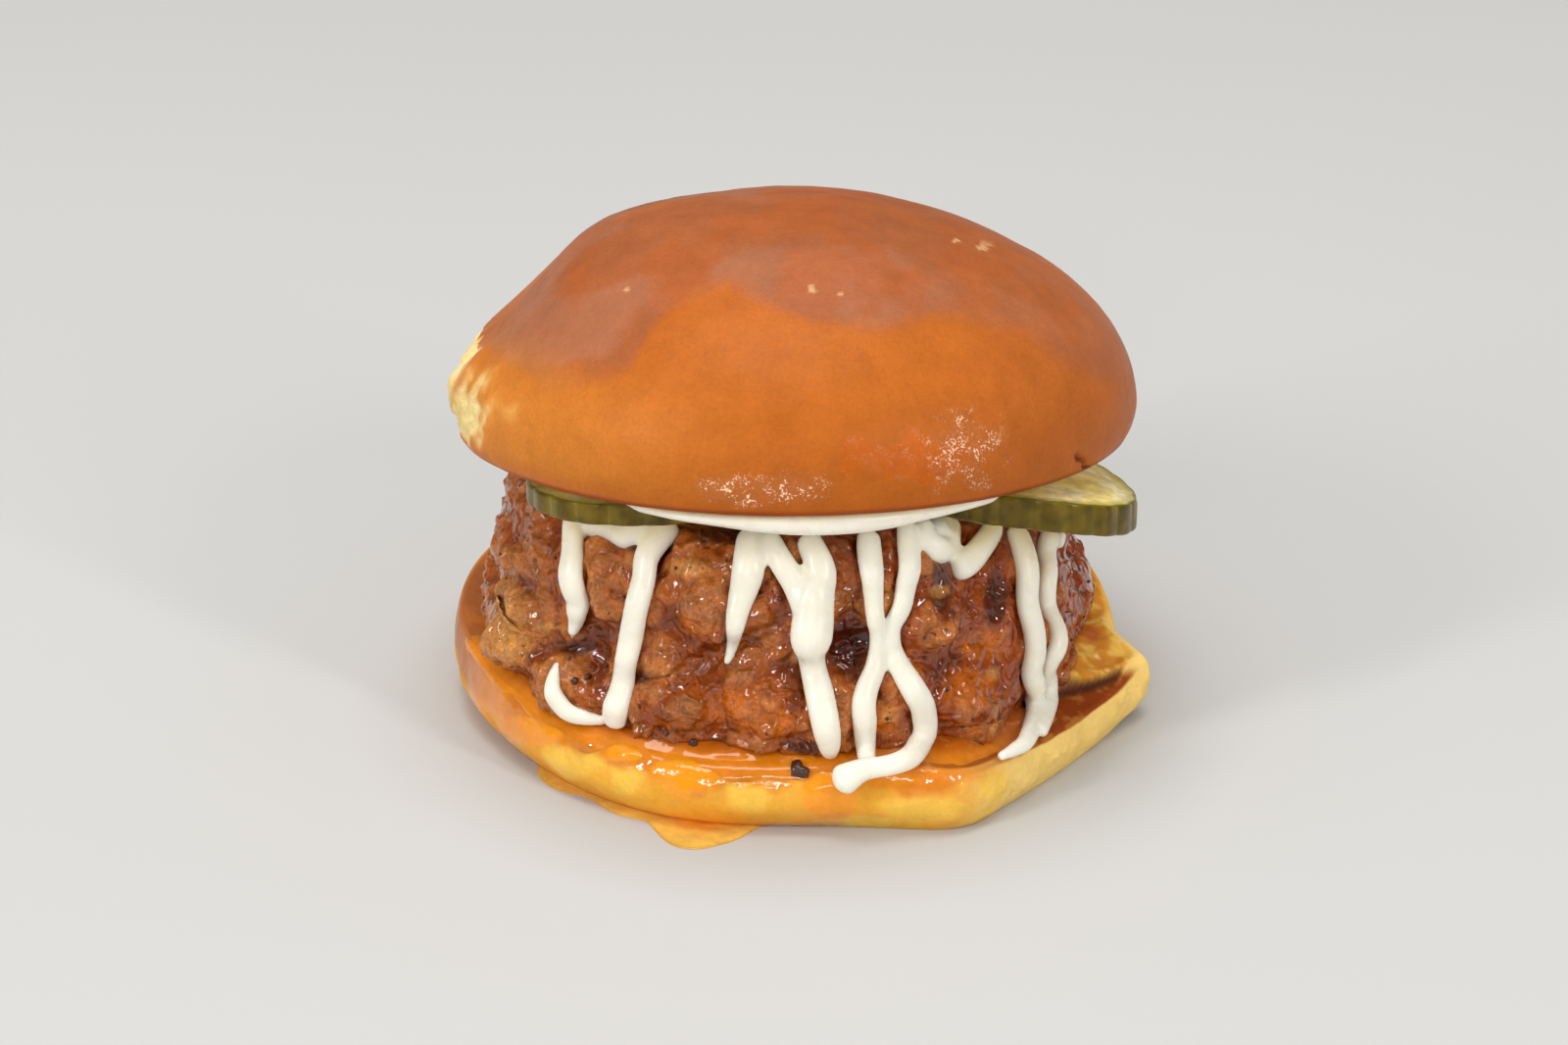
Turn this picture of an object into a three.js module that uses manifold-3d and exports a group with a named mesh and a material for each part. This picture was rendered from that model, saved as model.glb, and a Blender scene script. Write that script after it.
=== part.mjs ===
// A fried chicken burger, in millimetres, +Z up, its front towards -Y.
// From the table up: brioche heel, glazed fried chicken with mayonnaise drizzled down it,
// two pickle slices, a mayonnaise layer and the domed brioche crown, which leans back.
// Angles are in degrees, measured round the burger from the front, and positive to the right.
import * as THREE from "three";
import { mergeVertices } from "three/addons/utils/BufferGeometryUtils.js";
import Module from "manifold-3d";

const wasm = await Module();
wasm.setup();

// Driving dimensions
const GAP = 0.35; // between pieces that touch
const SNAP = 0.01; // grid that joined pieces are rounded to
const ORIGIN = { x: 2.64, y: -0.87 }; // middle of the whole, which becomes the frame's origin

const CROWN = {
  x: 1.2, cutZ: 45.1, leanBack: 7.5, radius: 54.2, cutInset: 2.3, belly: 4.8, dome: 31,
  fullness: 0.97, columns: 48, domeRows: 15,
};
const SPREAD = { radius: 50.3, thick: 3.1, thinner: 1.4, overPickle: 0.6, columns: 36 };
const PICKLES = [
  { name: "pickle_left", x: -20.6, y: -24.4, radius: 18.3, thick: 3.4, droop: 0.6, side: -1, seed: 5 },
  { name: "pickle_right", x: 36.8, y: -21.5, radius: 17.1, thick: 5.0, droop: 4.4, side: 1, seed: 8 },
];
const PICKLE = { ribs: 21, ribDepth: 0.35, columns: 42, faceWave: 0.25 };
const HEEL = {
  radius: 53.6, straight: [[0, 53.4], [53, 54.4]], cornerRound: 5, cutZ: 11.4, rimZ: 13.4,
  undercut: 3.4, cutInset: 1.5, sideRows: 6, step: 7, fineStep: 2.5, fineFrom: 63, fineTo: 90,
};
const CHICKEN = { radius: 47, columns: 96, sideRows: 15, creaseDepth: 2.4, underSpread: 4.0 };
const DRIZZLE = { sides: 6, step: 4.0, flatness: 0.72, sunk: 0.12 };

// The strands below are laid out as they look from in front and somewhat above
const VIEW = { tilt: 24, middleZ: 27.8 };

// Lumps of crust and, where negative, hollows in it, as [angle, height, across, how far out]
const LUMPS = [
  [-62, 20, 15, 3.0], [-66, 32, 14, 0.8], [-48, 37, 12, 2.0], [-31, 39, 6, 2.2],
  [-17, 36, 14, 2.8], [-43, 15, 12, 2.8], [-20, 17, 16, 2.4], [6, 33, 11, 1.8],
  [9, 18, 12, 2.2], [28, 38, 8, 1.4], [30, 29, 10, 2.8], [36, 14, 15, 3.2],
  [55, 31, 12, 1.6], [57, 19, 12, 1.6], [78, 40, 15, 4.2], [-107, 23, 16, 1.0], [-80, 17, 12, 1.0],
  [11, 29, 10, -3.4], [-40, 24, 9, -1.6], [2, 23, 8, -1.2], [30, 22, 8, -1.0],
];

// Strands of mayonnaise at the front, each as points of [across, up, width] in that view
const FRONT_STRANDS = [
  [[-31.2, 1.9, 3.6], [-31, -4, 3.7], [-31.4, -9.9, 3.6], [-31.9, -13.6, 3.1], [-32.9, -17.2, 0.9]],
  [[-29.3, 0.8, 3.3], [-26.4, -0.3, 3.8], [-23.2, -0.8, 4.2], [-19.4, 0.7, 4]],
  [
    [-17, 0.6, 4.2], [-20.1, -3.9, 3.6], [-21, -9.7, 3.2], [-22.6, -15.7, 3.3],
    [-23.4, -21.6, 3], [-24.6, -26.1, 3.7], [-25.3, -29.4, 3.5],
  ],
  [[-33, -20.6, 1.3], [-33.2, -22.9, 2.1], [-32.8, -25.8, 2.7], [-30.6, -28.4, 2.3], [-27, -30, 0.9]],
  [[-5, -1, 3.6], [-5.2, -6.3, 4.3], [-6.8, -12.8, 2.9], [-7.5, -17.8, 1.5], [-8.4, -20.3, 0.6]],
  [[-2.2, -1.7, 3], [0, -5.6, 3.3], [2.2, -9.7, 3.6], [3.6, -14, 3.4]],
  [
    [3.6, -1.7, 3.5], [5.5, -6.8, 3.9], [4.4, -11.2, 5.2], [3.8, -15.6, 5.8],
    [4.2, -20.6, 3.5], [5.3, -25.2, 3.8], [6.2, -30.7, 3.5], [7, -34.8, 1.6],
  ],
  [
    [12.7, -1.7, 3.3], [12.9, -6.8, 3.1], [13.2, -12.7, 2.3], [14.3, -17.1, 2.1],
    [13.7, -21.5, 2.7], [11.9, -26, 3.1], [12, -30.4, 3], [12.3, -35.1, 2.2],
  ],
  [
    [17.8, 0.6, 3.2], [18.2, -6.1, 3], [17.5, -11.2, 2.6], [16.4, -15.6, 2.3],
    [16.4, -19.3, 2.6], [18.7, -23.8, 3.3], [20.6, -27.5, 3.4], [21, -31.2, 3.3],
    [19.2, -34.6, 3], [15.5, -36, 2.6], [11.8, -36.6, 2.9], [8.9, -38.1, 4.2],
  ],
  [[20.4, 0.6, 3.2], [20.9, -1.8, 3.6], [22.8, -3.3, 3.9], [24.9, -2.2, 3.8], [25.2, 0.4, 3.4]],
  [[22.8, 1.2, 4.4], [22.8, -1.4, 5.6]],
  [[32, -0.2, 3.4], [30.2, -2.8, 3.9], [28, -5, 4.1], [26.3, -6, 3.8]],
  [
    [35.2, -1.2, 4.2], [36.3, -11.2, 3.6], [37.2, -17.5, 3.4], [38.4, -24.2, 3.4],
    [39.2, -28.4, 2.9], [37, -32.9, 2.3], [34.8, -34.3, 1.6], [32.5, -35.2, 0.8],
  ],
  [[41.3, -2.2, 3.8], [41.4, -11.3, 3.4], [40.9, -20.2, 3], [41.5, -26.7, 2.7], [39.3, -31.9, 1.9]],
  [[48.5, -1.8, 1.6], [46.8, -2.6, 2.2], [44.5, -3.4, 2.2]],
];

// Two strands that repeat round the sides and back, as [angle, how far down they start, strand]
const LONG_DRIP = [[-2, 0, 3.4], [-3, -4.5, 3.2], [-2, -9, 2.8], [-1, -13.5, 2.8], [-2, -17, 3.7]];
const SHORT_DRIP = [[0, 0, 3.4], [0, -4, 3.6], [-1, -8, 3.0], [-2, -11.5, 0.9]];
const OTHER_STRANDS = [
  [98, 8, SHORT_DRIP], [128, 9, LONG_DRIP], [178, 13, LONG_DRIP], [205, 13, SHORT_DRIP], [238, 10, LONG_DRIP],
];

// Small mathematics
const radians = (degrees) => (degrees * Math.PI) / 180;
const turn = (degrees) => ((((degrees + 180) % 360) + 360) % 360) - 180;
const clamp = (x) => Math.min(1, Math.max(0, x));
const mix = (a, b, t) => a + (b - a) * t;
const near = (a, b) => [Math.sin(radians(a)) * b, -Math.cos(radians(a)) * b];

// From 0 at a to 1 at b, eased at both ends
function ramp(x, a, b) {
  const t = clamp((x - a) / (b - a));
  return t * t * (3 - 2 * t);
}

// 1 in the middle, falling to 0 at the given half width
function hump(x, middle, half) {
  const t = (x - middle) / half;
  return Math.abs(t) < 1 ? (1 - t * t) ** 2 : 0;
}

const humpTurn = (angle, middle, half) => hump(turn(angle - middle), 0, half);

// The smaller of two values, rounded where they cross
function softMin(a, b, k) {
  const h = clamp(0.5 + (0.5 * (b - a)) / k);
  return mix(b, a, h) - k * h * (1 - h);
}

// A curve through evenly spaced rows of numbers, at t from 0 to 1
function through(rows, t) {
  const at = clamp(t) * (rows.length - 1);
  const i = Math.min(Math.floor(at), rows.length - 2);
  const f = at - i;
  const [a, b] = [rows[Math.max(i - 1, 0)], rows[i]];
  const [c, d] = [rows[i + 1], rows[Math.min(i + 2, rows.length - 1)]];
  return b.map((_, n) => {
    const [p, q, r, s] = [a[n], b[n], c[n], d[n]];
    return q + 0.5 * f * (r - p + f * (2 * p - 5 * q + 4 * r - s + f * (3 * (q - r) + s - p)));
  });
}

// A repeatable number from 0 to 1 for each cell of a grid
function hash(i, j, k, seed) {
  let h = Math.imul(i, 73856093) ^ Math.imul(j, 19349663) ^ Math.imul(k, 83492791);
  h ^= Math.imul(seed, 40503);
  h = Math.imul(h ^ (h >>> 15), 739982445);
  h = Math.imul(h ^ (h >>> 12), 695872825);
  return ((h ^ (h >>> 15)) >>> 0) / 4294967296;
}

// Smooth noise from 0 to 1, varying over the given size
function noise(x, y, z, size, seed) {
  const p = [x, y, z].map((v) => v / size);
  const [i, j, k] = p.map(Math.floor);
  const [u, v, w] = [p[0] - i, p[1] - j, p[2] - k].map((t) => t * t * (3 - 2 * t));
  let sum = 0;
  for (let n = 0; n < 8; n++) {
    const [a, b, c] = [n & 1, (n >> 1) & 1, n >> 2];
    sum += (a ? u : 1 - u) * (b ? v : 1 - v) * (c ? w : 1 - w) * hash(i + a, j + b, k + c, seed);
  }
  return sum;
}

// Rounded nodules scattered one to a cell, from 0 between them to 1 on the largest
function nodules(x, y, z, size, seed) {
  const p = [x, y, z].map((v) => v / size);
  const cell = p.map(Math.floor);
  let best = 0;
  for (let n = 0; n < 27; n++) {
    const c = [cell[0] + (n % 3) - 1, cell[1] + (Math.floor(n / 3) % 3) - 1, cell[2] + Math.floor(n / 9) - 1];
    const d = c.map((v, a) => v + 0.15 + 0.7 * hash(...c, seed + a) - p[a]);
    const big = 0.55 + 0.45 * hash(...c, seed + 3);
    const far = (d[0] ** 2 + d[1] ** 2 + d[2] ** 2) / (0.78 * big) ** 2;
    if (far < 1) best = Math.max(best, big * (1 - far) ** 0.6);
  }
  return best;
}

// The cut face of the crown: its height above the table, as it leans back
const lean = Math.tan(radians(CROWN.leanBack));
const crownPlane = (y) => CROWN.cutZ - y * lean;

// How far a pickle slice hangs down where it sticks out at the side
const pickleDroop = (p, x) => p.droop * clamp(((x - p.x) * p.side + 4) / (p.radius + 4)) ** 1.6;

function pickleTop(p, x, y) {
  return crownPlane(y) - SPREAD.overPickle - 2 * GAP - pickleDroop(p, x);
}

// 1 under a pickle slice and outwards from it, 0 clear of it
function underPickle(p, x, y) {
  const out = Math.hypot(p.x, p.y);
  const along = Math.max(0, ((x - p.x) * p.x + (y - p.y) * p.y) / out);
  const off = Math.hypot(x - p.x - (along * p.x) / out, y - p.y - (along * p.y) / out);
  return 1 - ramp(off, p.radius + 0.5, p.radius + 4);
}

// The heel's outline: round, with two straight sides that meet in a soft corner
function heelRadius(angle) {
  const a = turn(angle);
  const round = HEEL.radius + 0.5 * Math.cos(radians(3 * a + 40)) + 0.35 * Math.cos(radians(5 * a));
  const full = round - 1.3 * humpTurn(a, -58, 32) + 9 * ramp(a, 6, 24) * (1 - ramp(a, 72, 88));
  const sides = HEEL.straight.map(([at, distance]) => {
    const off = Math.abs(turn(a - at));
    return off < 50 ? distance / Math.cos(radians(off)) : 99;
  });
  return softMin(full, softMin(...sides, HEEL.cornerRound), 1);
}

// Height of the heel's top edge: pressed down at the front, curled up at the back
function heelRim(angle) {
  const pressed = 3.0 * humpTurn(angle, -8, 70) + 6.2 * humpTurn(angle, 62, 48);
  const curled = 1.6 * humpTurn(angle, -112, 50) + 1.2 * humpTurn(angle, 130, 40);
  return HEEL.rimZ - pressed + curled + 0.4 * Math.cos(radians(4 * angle + 25));
}

// Height of the heel's cut face, with the fold near its right corner
function heelTop(x, y) {
  const angle = (Math.atan2(x, -y) * 180) / Math.PI;
  const share = Math.hypot(x, y) / heelRadius(angle);
  const behindFold = -0.5 * (x - 43.3) + 0.866 * (y + 22.5);
  const fold = 1.5 * ramp(behindFold, -0.6, 2.2) * ramp(x, 36, 43) * (1 - ramp(y, -8, 4));
  return mix(HEEL.cutZ, heelRim(angle), ramp(share, 0.5, 0.97)) + fold;
}

// The underside's edge is lifted off the table at the corner
const heelLift = (angle, r) => 1.2 * humpTurn(angle, 80, 16) * ramp(r, 44, 58);

// How far the side is drawn in at the table, and at the cut face
const heelUndercut = (angle) => HEEL.undercut - 2.6 * humpTurn(angle, 52, 46);
const heelInset = (angle) => HEEL.cutInset + 2.2 * humpTurn(angle, -12, 58) + 1.4 * humpTurn(angle, 81, 13);

// The chicken's outline seen from above
function chickenRadius(angle) {
  const wave = 0.5 * Math.cos(radians(2 * angle + 160)) + 0.6 * Math.cos(radians(3 * angle - 50));
  const drawnIn = 0.8 * humpTurn(angle, 62, 30) + 1.8 * humpTurn(angle, -92, 42);
  return CHICKEN.radius + wave + 1.2 * humpTurn(angle, 12, 30) - drawnIn;
}

// Height of the chicken's top, under the mayonnaise and lower under the pickles
function chickenTop(x, y) {
  let top = crownPlane(y) - CHICKEN.underSpread;
  for (const p of PICKLES) {
    const below = pickleTop(p, x, y) - p.thick - GAP - 0.2;
    top = Math.min(top, mix(top, below, underPickle(p, x, y)));
  }
  return top;
}

// The chicken's side from the bottom's middle to the top's middle, as [share of radius, share of height]
const CHICKEN_PROFILE = [
  [0, 0], [0.62, 0], [0.99, 0.01], [1.025, 0.09], [1.03, 0.24], [0.985, 0.4],
  [0.98, 0.54], [0.95, 0.68], [0.89, 0.83], [0.79, 0.94], [0.55, 1.0], [0, 1.0],
];
const SIDE = { from: 0.17, to: 0.84 }; // the part of that profile that shows

// Height share of the crease between the chicken's two folds: low at the front left, rising to the right
function creaseUp(angle) {
  const a = turn(angle);
  return mix(0.44, 0.26 + 0.4 * ramp(a, -28, 14), 1 - ramp(Math.abs(a), 60, 100));
}

function chickenBody(angle, t) {
  const [share, up] = through(CHICKEN_PROFILE, t);
  const deep = (0.65 + 0.35 * Math.cos(radians(angle + 50))) * (1 - 0.8 * humpTurn(angle, 45, 32));
  const crease = CHICKEN.creaseDepth * deep * hump(up, creaseUp(angle), 0.13);
  const r = Math.max(0, chickenRadius(angle) * share - crease);
  const [x, y] = near(angle, r);
  const low = heelTop(x, y) + 2 * GAP;
  return new THREE.Vector3(x, y, mix(low, chickenTop(x, y), up));
}

// Which way the chicken's surface faces
function chickenFacing(angle, t) {
  const at = Math.min(Math.max(t, 0.02), 0.98);
  const across = chickenBody(angle + 1, at).sub(chickenBody(angle - 1, at));
  const up = chickenBody(angle, at + 0.01).sub(chickenBody(angle, at - 0.01));
  return across.cross(up).normalize();
}

// How far the crust stands out from the chicken's body: big lumps and hollows, then nodules
function crust(angle, p) {
  let out = 0;
  let into = 0;
  for (const [at, height, across, depth] of LUMPS) {
    const sideways = radians(turn(angle - at)) * CHICKEN.radius;
    const far = Math.hypot(sideways, p.z - height) / (across / 2);
    if (far < 1 && depth > 0) out = Math.max(out, depth * (1 - far * far) ** 0.7);
    if (far < 1 && depth < 0) into = Math.min(into, depth * (1 - far * far) ** 0.7);
  }
  const rough = 2.4 * nodules(p.x, p.y, p.z, 9.5, 11) + 1.0 * nodules(p.x, p.y, p.z, 5, 23);
  return 0.75 * out + into + rough - 1.2;
}

// Fades the relief out where the chicken lies on the heel or under the crown
const showing = (t) => ramp(t, SIDE.from - 0.05, SIDE.from + 0.03) * (1 - ramp(t, SIDE.to, SIDE.to + 0.1));

function chickenSurface(angle, t) {
  const body = chickenBody(angle, t);
  const raised = body.clone().addScaledVector(chickenFacing(angle, t), crust(angle, body) * showing(t));
  const floor = heelTop(raised.x, raised.y) + 2 * GAP;
  const roof = chickenTop(raised.x, raised.y) + 0.4;
  raised.z = Math.min(Math.max(raised.z, floor), roof);
  return raised;
}

// Turns vertices and faces into a geometry without spare vertices
function geometry(vertices, faces) {
  const made = new THREE.BufferGeometry();
  made.setAttribute("position", new THREE.Float32BufferAttribute(vertices.flat(), 3));
  made.setIndex(faces.flat());
  return made;
}

// A closed surface of rings between a first and a last point, facing out
function shell(first, rings, last) {
  const columns = rings[0].length;
  const vertices = [first, ...rings.flat(), last];
  const id = (ring, column) => 1 + ring * columns + (column % columns);
  const faces = [];
  for (let c = 0; c < columns; c++) {
    faces.push([0, id(0, c + 1), id(0, c)]);
    faces.push([vertices.length - 1, id(rings.length - 1, c), id(rings.length - 1, c + 1)]);
    for (let r = 0; r + 1 < rings.length; r++) {
      const [a, b, d, e] = [id(r, c), id(r, c + 1), id(r + 1, c), id(r + 1, c + 1)];
      faces.push([a, b, e], [a, e, d]);
    }
  }
  return geometry(vertices, faces);
}

// The rings of a shell: pointAt(angle, row) for each row, at the given angles or count of them
function ringsOf(rows, columns, pointAt) {
  const even = (count) => Array.from({ length: count }, (_, c) => (360 * c) / count);
  const angles = Array.isArray(columns) ? columns : even(columns);
  return rows.map((row) => angles.map((angle) => pointAt(angle, row)));
}

const spaced = (count, from, to) => Array.from({ length: count }, (_, n) => mix(from, to, n / (count - 1)));

// Crown
function crownRadius(angle) {
  return CROWN.radius + 0.5 * Math.cos(radians(2 * angle - 40)) + 0.4 * Math.cos(radians(3 * angle + 70));
}

// The dome's own unevenness: a full shoulder at the upper left, a flat below it, a slope at the right
function domeRelief(angle, rise) {
  const shoulder = 1.5 * humpTurn(angle, -70, 80) * hump(rise, 66, 24);
  const flat = 3.0 * humpTurn(angle, -92, 50) * hump(rise, 30, 26);
  const slope = 1.5 * humpTurn(angle, 75, 65) * hump(rise, 52, 34);
  return shoulder - flat - slope;
}

// The torn patch at the left, where a neighbouring bun was pulled off
function tornRelief(angle, rise, p) {
  const torn = humpTurn(angle, -84, 27) * hump(rise, 4, 24);
  return torn * (0.6 + 1.6 * (noise(...p, 4.5, 31) - 0.5));
}

// A point of the dome: rise is 90 at its top, 0 at its widest and -90 at the edge of the cut face
function domePoint(angle, rise) {
  const wide = crownRadius(angle);
  const cos = Math.cos(radians(rise));
  const sin = Math.sin(radians(rise));
  const r = rise > 0 ? wide * cos ** CROWN.fullness : wide - CROWN.cutInset * (1 - cos);
  const z = CROWN.belly + (rise > 0 ? CROWN.dome : CROWN.belly) * sin;
  const start = [...near(angle, r), z];
  const soft = 0.9 * (noise(...start, 21, 41) - 0.5);
  const out = rise > -60 ? domeRelief(angle, rise) + tornRelief(angle, rise, start) + soft : 0;
  const tilt = radians(Math.max(rise, 0));
  const [x, y] = near(angle, r + out * Math.cos(tilt));
  return [x, y, z + out * Math.sin(tilt)];
}

function crownGeometry() {
  const rises = [...spaced(4, -90, -22), ...spaced(CROWN.domeRows, 0, 86)];
  const flat = ringsOf([0.3, 0.62, 0.86], CROWN.columns, (angle, share) => {
    return [...near(angle, share * (crownRadius(angle) - CROWN.cutInset)), 0];
  });
  const dome = ringsOf(rises, CROWN.columns, domePoint);
  const top = domePoint(0, 89.9)[2];
  return shell([0, 0, 0], [...flat, ...dome], [0, 0, top]);
}

// Mayonnaise layer
function spreadRadius(angle) {
  const a = turn(angle);
  const left = 2.7 * ramp(-a, 12, 40) * (1 - ramp(-a, 105, 140));
  const wave = 0.7 * Math.cos(radians(7 * a + 20)) * ramp(Math.abs(a), 50, 90);
  return SPREAD.radius + 1.7 * humpTurn(a, 3, 40) - left - 3.4 * humpTurn(a, 75, 40) + wave;
}

// It is pressed thinner over the pickle slices
function spreadThick(angle) {
  const a = turn(angle);
  const pressed = ramp(-a, -4, 18) * (1 - ramp(-a, 60, 90)) + ramp(a, 12, 38) * (1 - ramp(a, 60, 90));
  return SPREAD.thick - SPREAD.thinner * pressed;
}

function spreadGeometry() {
  const place = (angle, r, part) => {
    const [x, y] = near(angle, r);
    return [x, y, crownPlane(y) - GAP - part * spreadThick(angle)];
  };
  const inner = (part) => (angle, share) => place(angle, (spreadRadius(angle) - 2) * share, part);
  const edge = (angle, [inset, part]) => place(angle, spreadRadius(angle) - inset, part);
  const under = ringsOf([0.5], SPREAD.columns, inner(1));
  const side = ringsOf([[1.6, 1], [0.4, 0.86], [0, 0.5], [0.5, 0.12], [1.4, 0]], SPREAD.columns, edge);
  const over = ringsOf([0.5], SPREAD.columns, inner(0));
  let body = solid(shell(place(0, 0, 1), [...under, ...side, ...over], place(0, 0, 0)));
  for (const p of PICKLES) {
    body = body.subtract(solid(pickleGeometry(p, GAP)));
  }
  return fromSolid(largestPiece(solid(fromSolid(largestPiece(body)))));
}

// Pickle slice: a bent disc with a ribbed skin
function pickleGeometry(p, grown = 0) {
  const rimRadius = (angle) => {
    const rib = Math.abs(Math.sin(radians((PICKLE.ribs * angle) / 2)));
    const oval = 0.02 * Math.cos(radians(2 * angle + 30 * p.seed));
    return p.radius * (1 + oval) - PICKLE.ribDepth * (1 - rib) + grown;
  };
  const place = (part) => (angle, share) => {
    const [dx, dy] = near(angle, rimRadius(angle) * share);
    const [x, y] = [p.x + dx, p.y + dy];
    const wave = PICKLE.faceWave * (noise(dx, dy, part, 5, p.seed) - 0.5);
    return [x, y, pickleTop(p, x, y) + grown - part * (p.thick + 2 * grown) + wave];
  };
  const bottom = ringsOf([0.4, 0.95], PICKLE.columns, place(1));
  const skin = ringsOf([0.82, 0.5, 0.18], PICKLE.columns, (angle, part) => place(part)(angle, 1));
  const top = ringsOf([0.95, 0.7, 0.4], PICKLE.columns, place(0));
  return shell(place(1)(0, 0), [...bottom, ...skin, ...top], place(0)(0, 0));
}

// Heel, with more columns round its corner
function heelAngles() {
  const angles = [];
  for (let angle = 0; angle < 360; ) {
    angles.push(angle);
    angle += angle >= HEEL.fineFrom && angle < HEEL.fineTo ? HEEL.fineStep : HEEL.step;
  }
  return angles;
}

function heelGeometry() {
  const angles = heelAngles();
  const underRing = (angle, share) => {
    const r = share * (heelRadius(angle) - heelUndercut(angle));
    return [...near(angle, r), heelLift(angle, r)];
  };
  const sidePoint = (angle, up) => {
    const low = heelUndercut(angle) * (1 - Math.sin(radians(90 * Math.min(1, up / 0.5))));
    const rounding = 1 - Math.sqrt(1 - clamp((up - 0.5) / 0.5) ** 2);
    const r = heelRadius(angle) - low - heelInset(angle) * rounding;
    const [x, y] = near(angle, r);
    return [x, y, mix(heelLift(angle, r), heelTop(x, y), up)];
  };
  const facePoint = (angle, share) => {
    const [x, y] = near(angle, share * (heelRadius(angle) - heelInset(angle)));
    return [x, y, heelTop(x, y)];
  };
  const under = ringsOf([0.5, 1], angles, underRing);
  const side = ringsOf(spaced(HEEL.sideRows, 0.16, 1), angles, sidePoint);
  const face = ringsOf([0.93, 0.85, 0.74, 0.6, 0.35], angles, facePoint);
  return shell([0, 0, 0], [...under, ...side, ...face], [0, 0, heelTop(0, 0)]);
}

// Fried chicken
function chickenGeometry() {
  const rows = [0.1, 0.14, ...spaced(CHICKEN.sideRows, SIDE.from, SIDE.to), 0.88, 0.93];
  const rings = ringsOf(rows, CHICKEN.columns, (angle, t) => chickenSurface(angle, t).toArray());
  return shell(chickenSurface(0, 0).toArray(), rings, chickenSurface(0, 1).toArray());
}

// A point as seen from the angle "face": how far across and how far up it looks
function inView(face, point) {
  const [sin, cos] = [Math.sin(radians(face)), Math.cos(radians(face))];
  const across = point.x * cos + point.y * sin;
  const away = point.y * cos - point.x * sin;
  const tilt = radians(VIEW.tilt);
  return { across, up: away * Math.sin(tilt) + (point.z - VIEW.middleZ) * Math.cos(tilt) };
}

// Halves the range from low to high until the test turns from true to false
function search(low, high, isBelow) {
  for (let halving = 0; halving < 16; halving++) {
    const middle = (low + high) / 2;
    if (isBelow(middle)) low = middle;
    else high = middle;
  }
  return (low + high) / 2;
}

// A place on the heel, from inside its cut face at s = 0 over the edge and down its side at s = 2
function heelOutside(angle, s, lift) {
  const wide = heelRadius(angle) + lift - 1;
  const [x, y] = near(angle, mix(40, wide, Math.min(s, 1)));
  const high = heelTop(x, y) + lift;
  return new THREE.Vector3(x, y, mix(high, 2, Math.max(0, s - 1)));
}

// Where a strand lies: on the chicken's side, or below it on the heel
function placeStrand(face, across, up, thick) {
  const onChicken = (angle, t) => chickenBody(angle, t).addScaledVector(chickenFacing(angle, t), 1);
  const lift = thick / 2 + 2 * GAP;
  let angle = face;
  let t = SIDE.from;
  let place = null;
  for (let round = 0; round < 16; round++) {
    const isOnHeel = inView(face, onChicken(angle, SIDE.from)).up > up;
    t = search(SIDE.from, 0.9, (at) => inView(face, onChicken(angle, at)).up < up);
    const s = search(0, 2, (at) => inView(face, heelOutside(angle, at, lift)).up > up);
    place = isOnHeel ? heelOutside(angle, s, lift) : null;
    const reach = place ?? onChicken(angle, t);
    const share = Math.max(-0.98, Math.min(0.98, across / Math.hypot(reach.x, reach.y)));
    angle = (angle + face + (Math.asin(share) * 180) / Math.PI) / 2;
  }
  const outwards = new THREE.Vector3(...near(angle, 1), 0);
  if (place) return { place, out: outwards.setZ(1).normalize(), crust: 0, onHeel: true };
  const body = chickenBody(angle, t);
  return { place: body, out: outwards, crust: crust(angle, body), onHeel: false };
}

// All strands, each with the angle that its points are seen from
function strands() {
  const front = FRONT_STRANDS.map((points) => ({ face: 0, points }));
  const others = OTHER_STRANDS.map(([face, down, drip]) => {
    return { face, points: drip.map(([across, up, width]) => [across, up - down, width]) };
  });
  return [...front, ...others];
}

// Centre, facing and width along a strand, riding over the crust
function strandLine({ face, points }) {
  let length = 0;
  for (let n = 1; n < points.length; n++) {
    length += Math.hypot(points[n][0] - points[n - 1][0], points[n][1] - points[n - 1][1]);
  }
  const count = Math.max(4, Math.round(length / DRIZZLE.step));
  const stops = spaced(count + 1, 0, 1).map((part) => {
    const [across, up, width] = through(points, part);
    const thick = width * DRIZZLE.flatness;
    return { ...placeStrand(face, across, up, thick), width, thick };
  });
  return stops.map((stop, n) => {
    if (stop.onHeel) return { ...stop, centre: stop.place };
    const around = stops.slice(Math.max(0, n - 1), n + 2).map((s) => s.crust);
    const mean = around.reduce((a, b) => a + b, 0) / around.length;
    const rise = Math.max(mean, stop.crust * 0.9) + stop.thick * (0.5 - DRIZZLE.sunk);
    const centre = stop.place.clone().addScaledVector(stop.out, rise);
    const lowest = heelTop(centre.x, centre.y) + stop.thick / 2 + 2 * GAP;
    const highest = chickenTop(centre.x, centre.y) - stop.thick / 2 + 0.1;
    centre.z = Math.min(Math.max(centre.z, lowest), highest);
    return { ...stop, centre };
  });
}

// A strand as a closed tube, flattened against the chicken
function strandGeometry(strand) {
  const line = strandLine(strand);
  const rings = line.map((stop, n) => {
    const [before, after] = [line[Math.max(0, n - 1)], line[Math.min(line.length - 1, n + 1)]];
    const along = after.centre.clone().sub(before.centre).normalize();
    const sideways = along.clone().cross(stop.out).normalize();
    const outwards = sideways.clone().cross(along).normalize();
    return Array.from({ length: DRIZZLE.sides }, (_, k) => {
      const turned = radians((360 * k) / DRIZZLE.sides);
      return stop.centre.clone()
        .addScaledVector(sideways, (Math.cos(turned) * stop.width) / 2)
        .addScaledVector(outwards, (Math.sin(turned) * stop.thick) / 2)
        .toArray();
    });
  });
  const cap = (stop, next) => {
    const along = stop.centre.clone().sub(next.centre).normalize();
    return stop.centre.clone().addScaledVector(along, stop.width * 0.35).toArray();
  };
  const last = line.length - 1;
  return shell(cap(line[0], line[1]), rings, cap(line[last], line[last - 1]));
}

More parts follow.
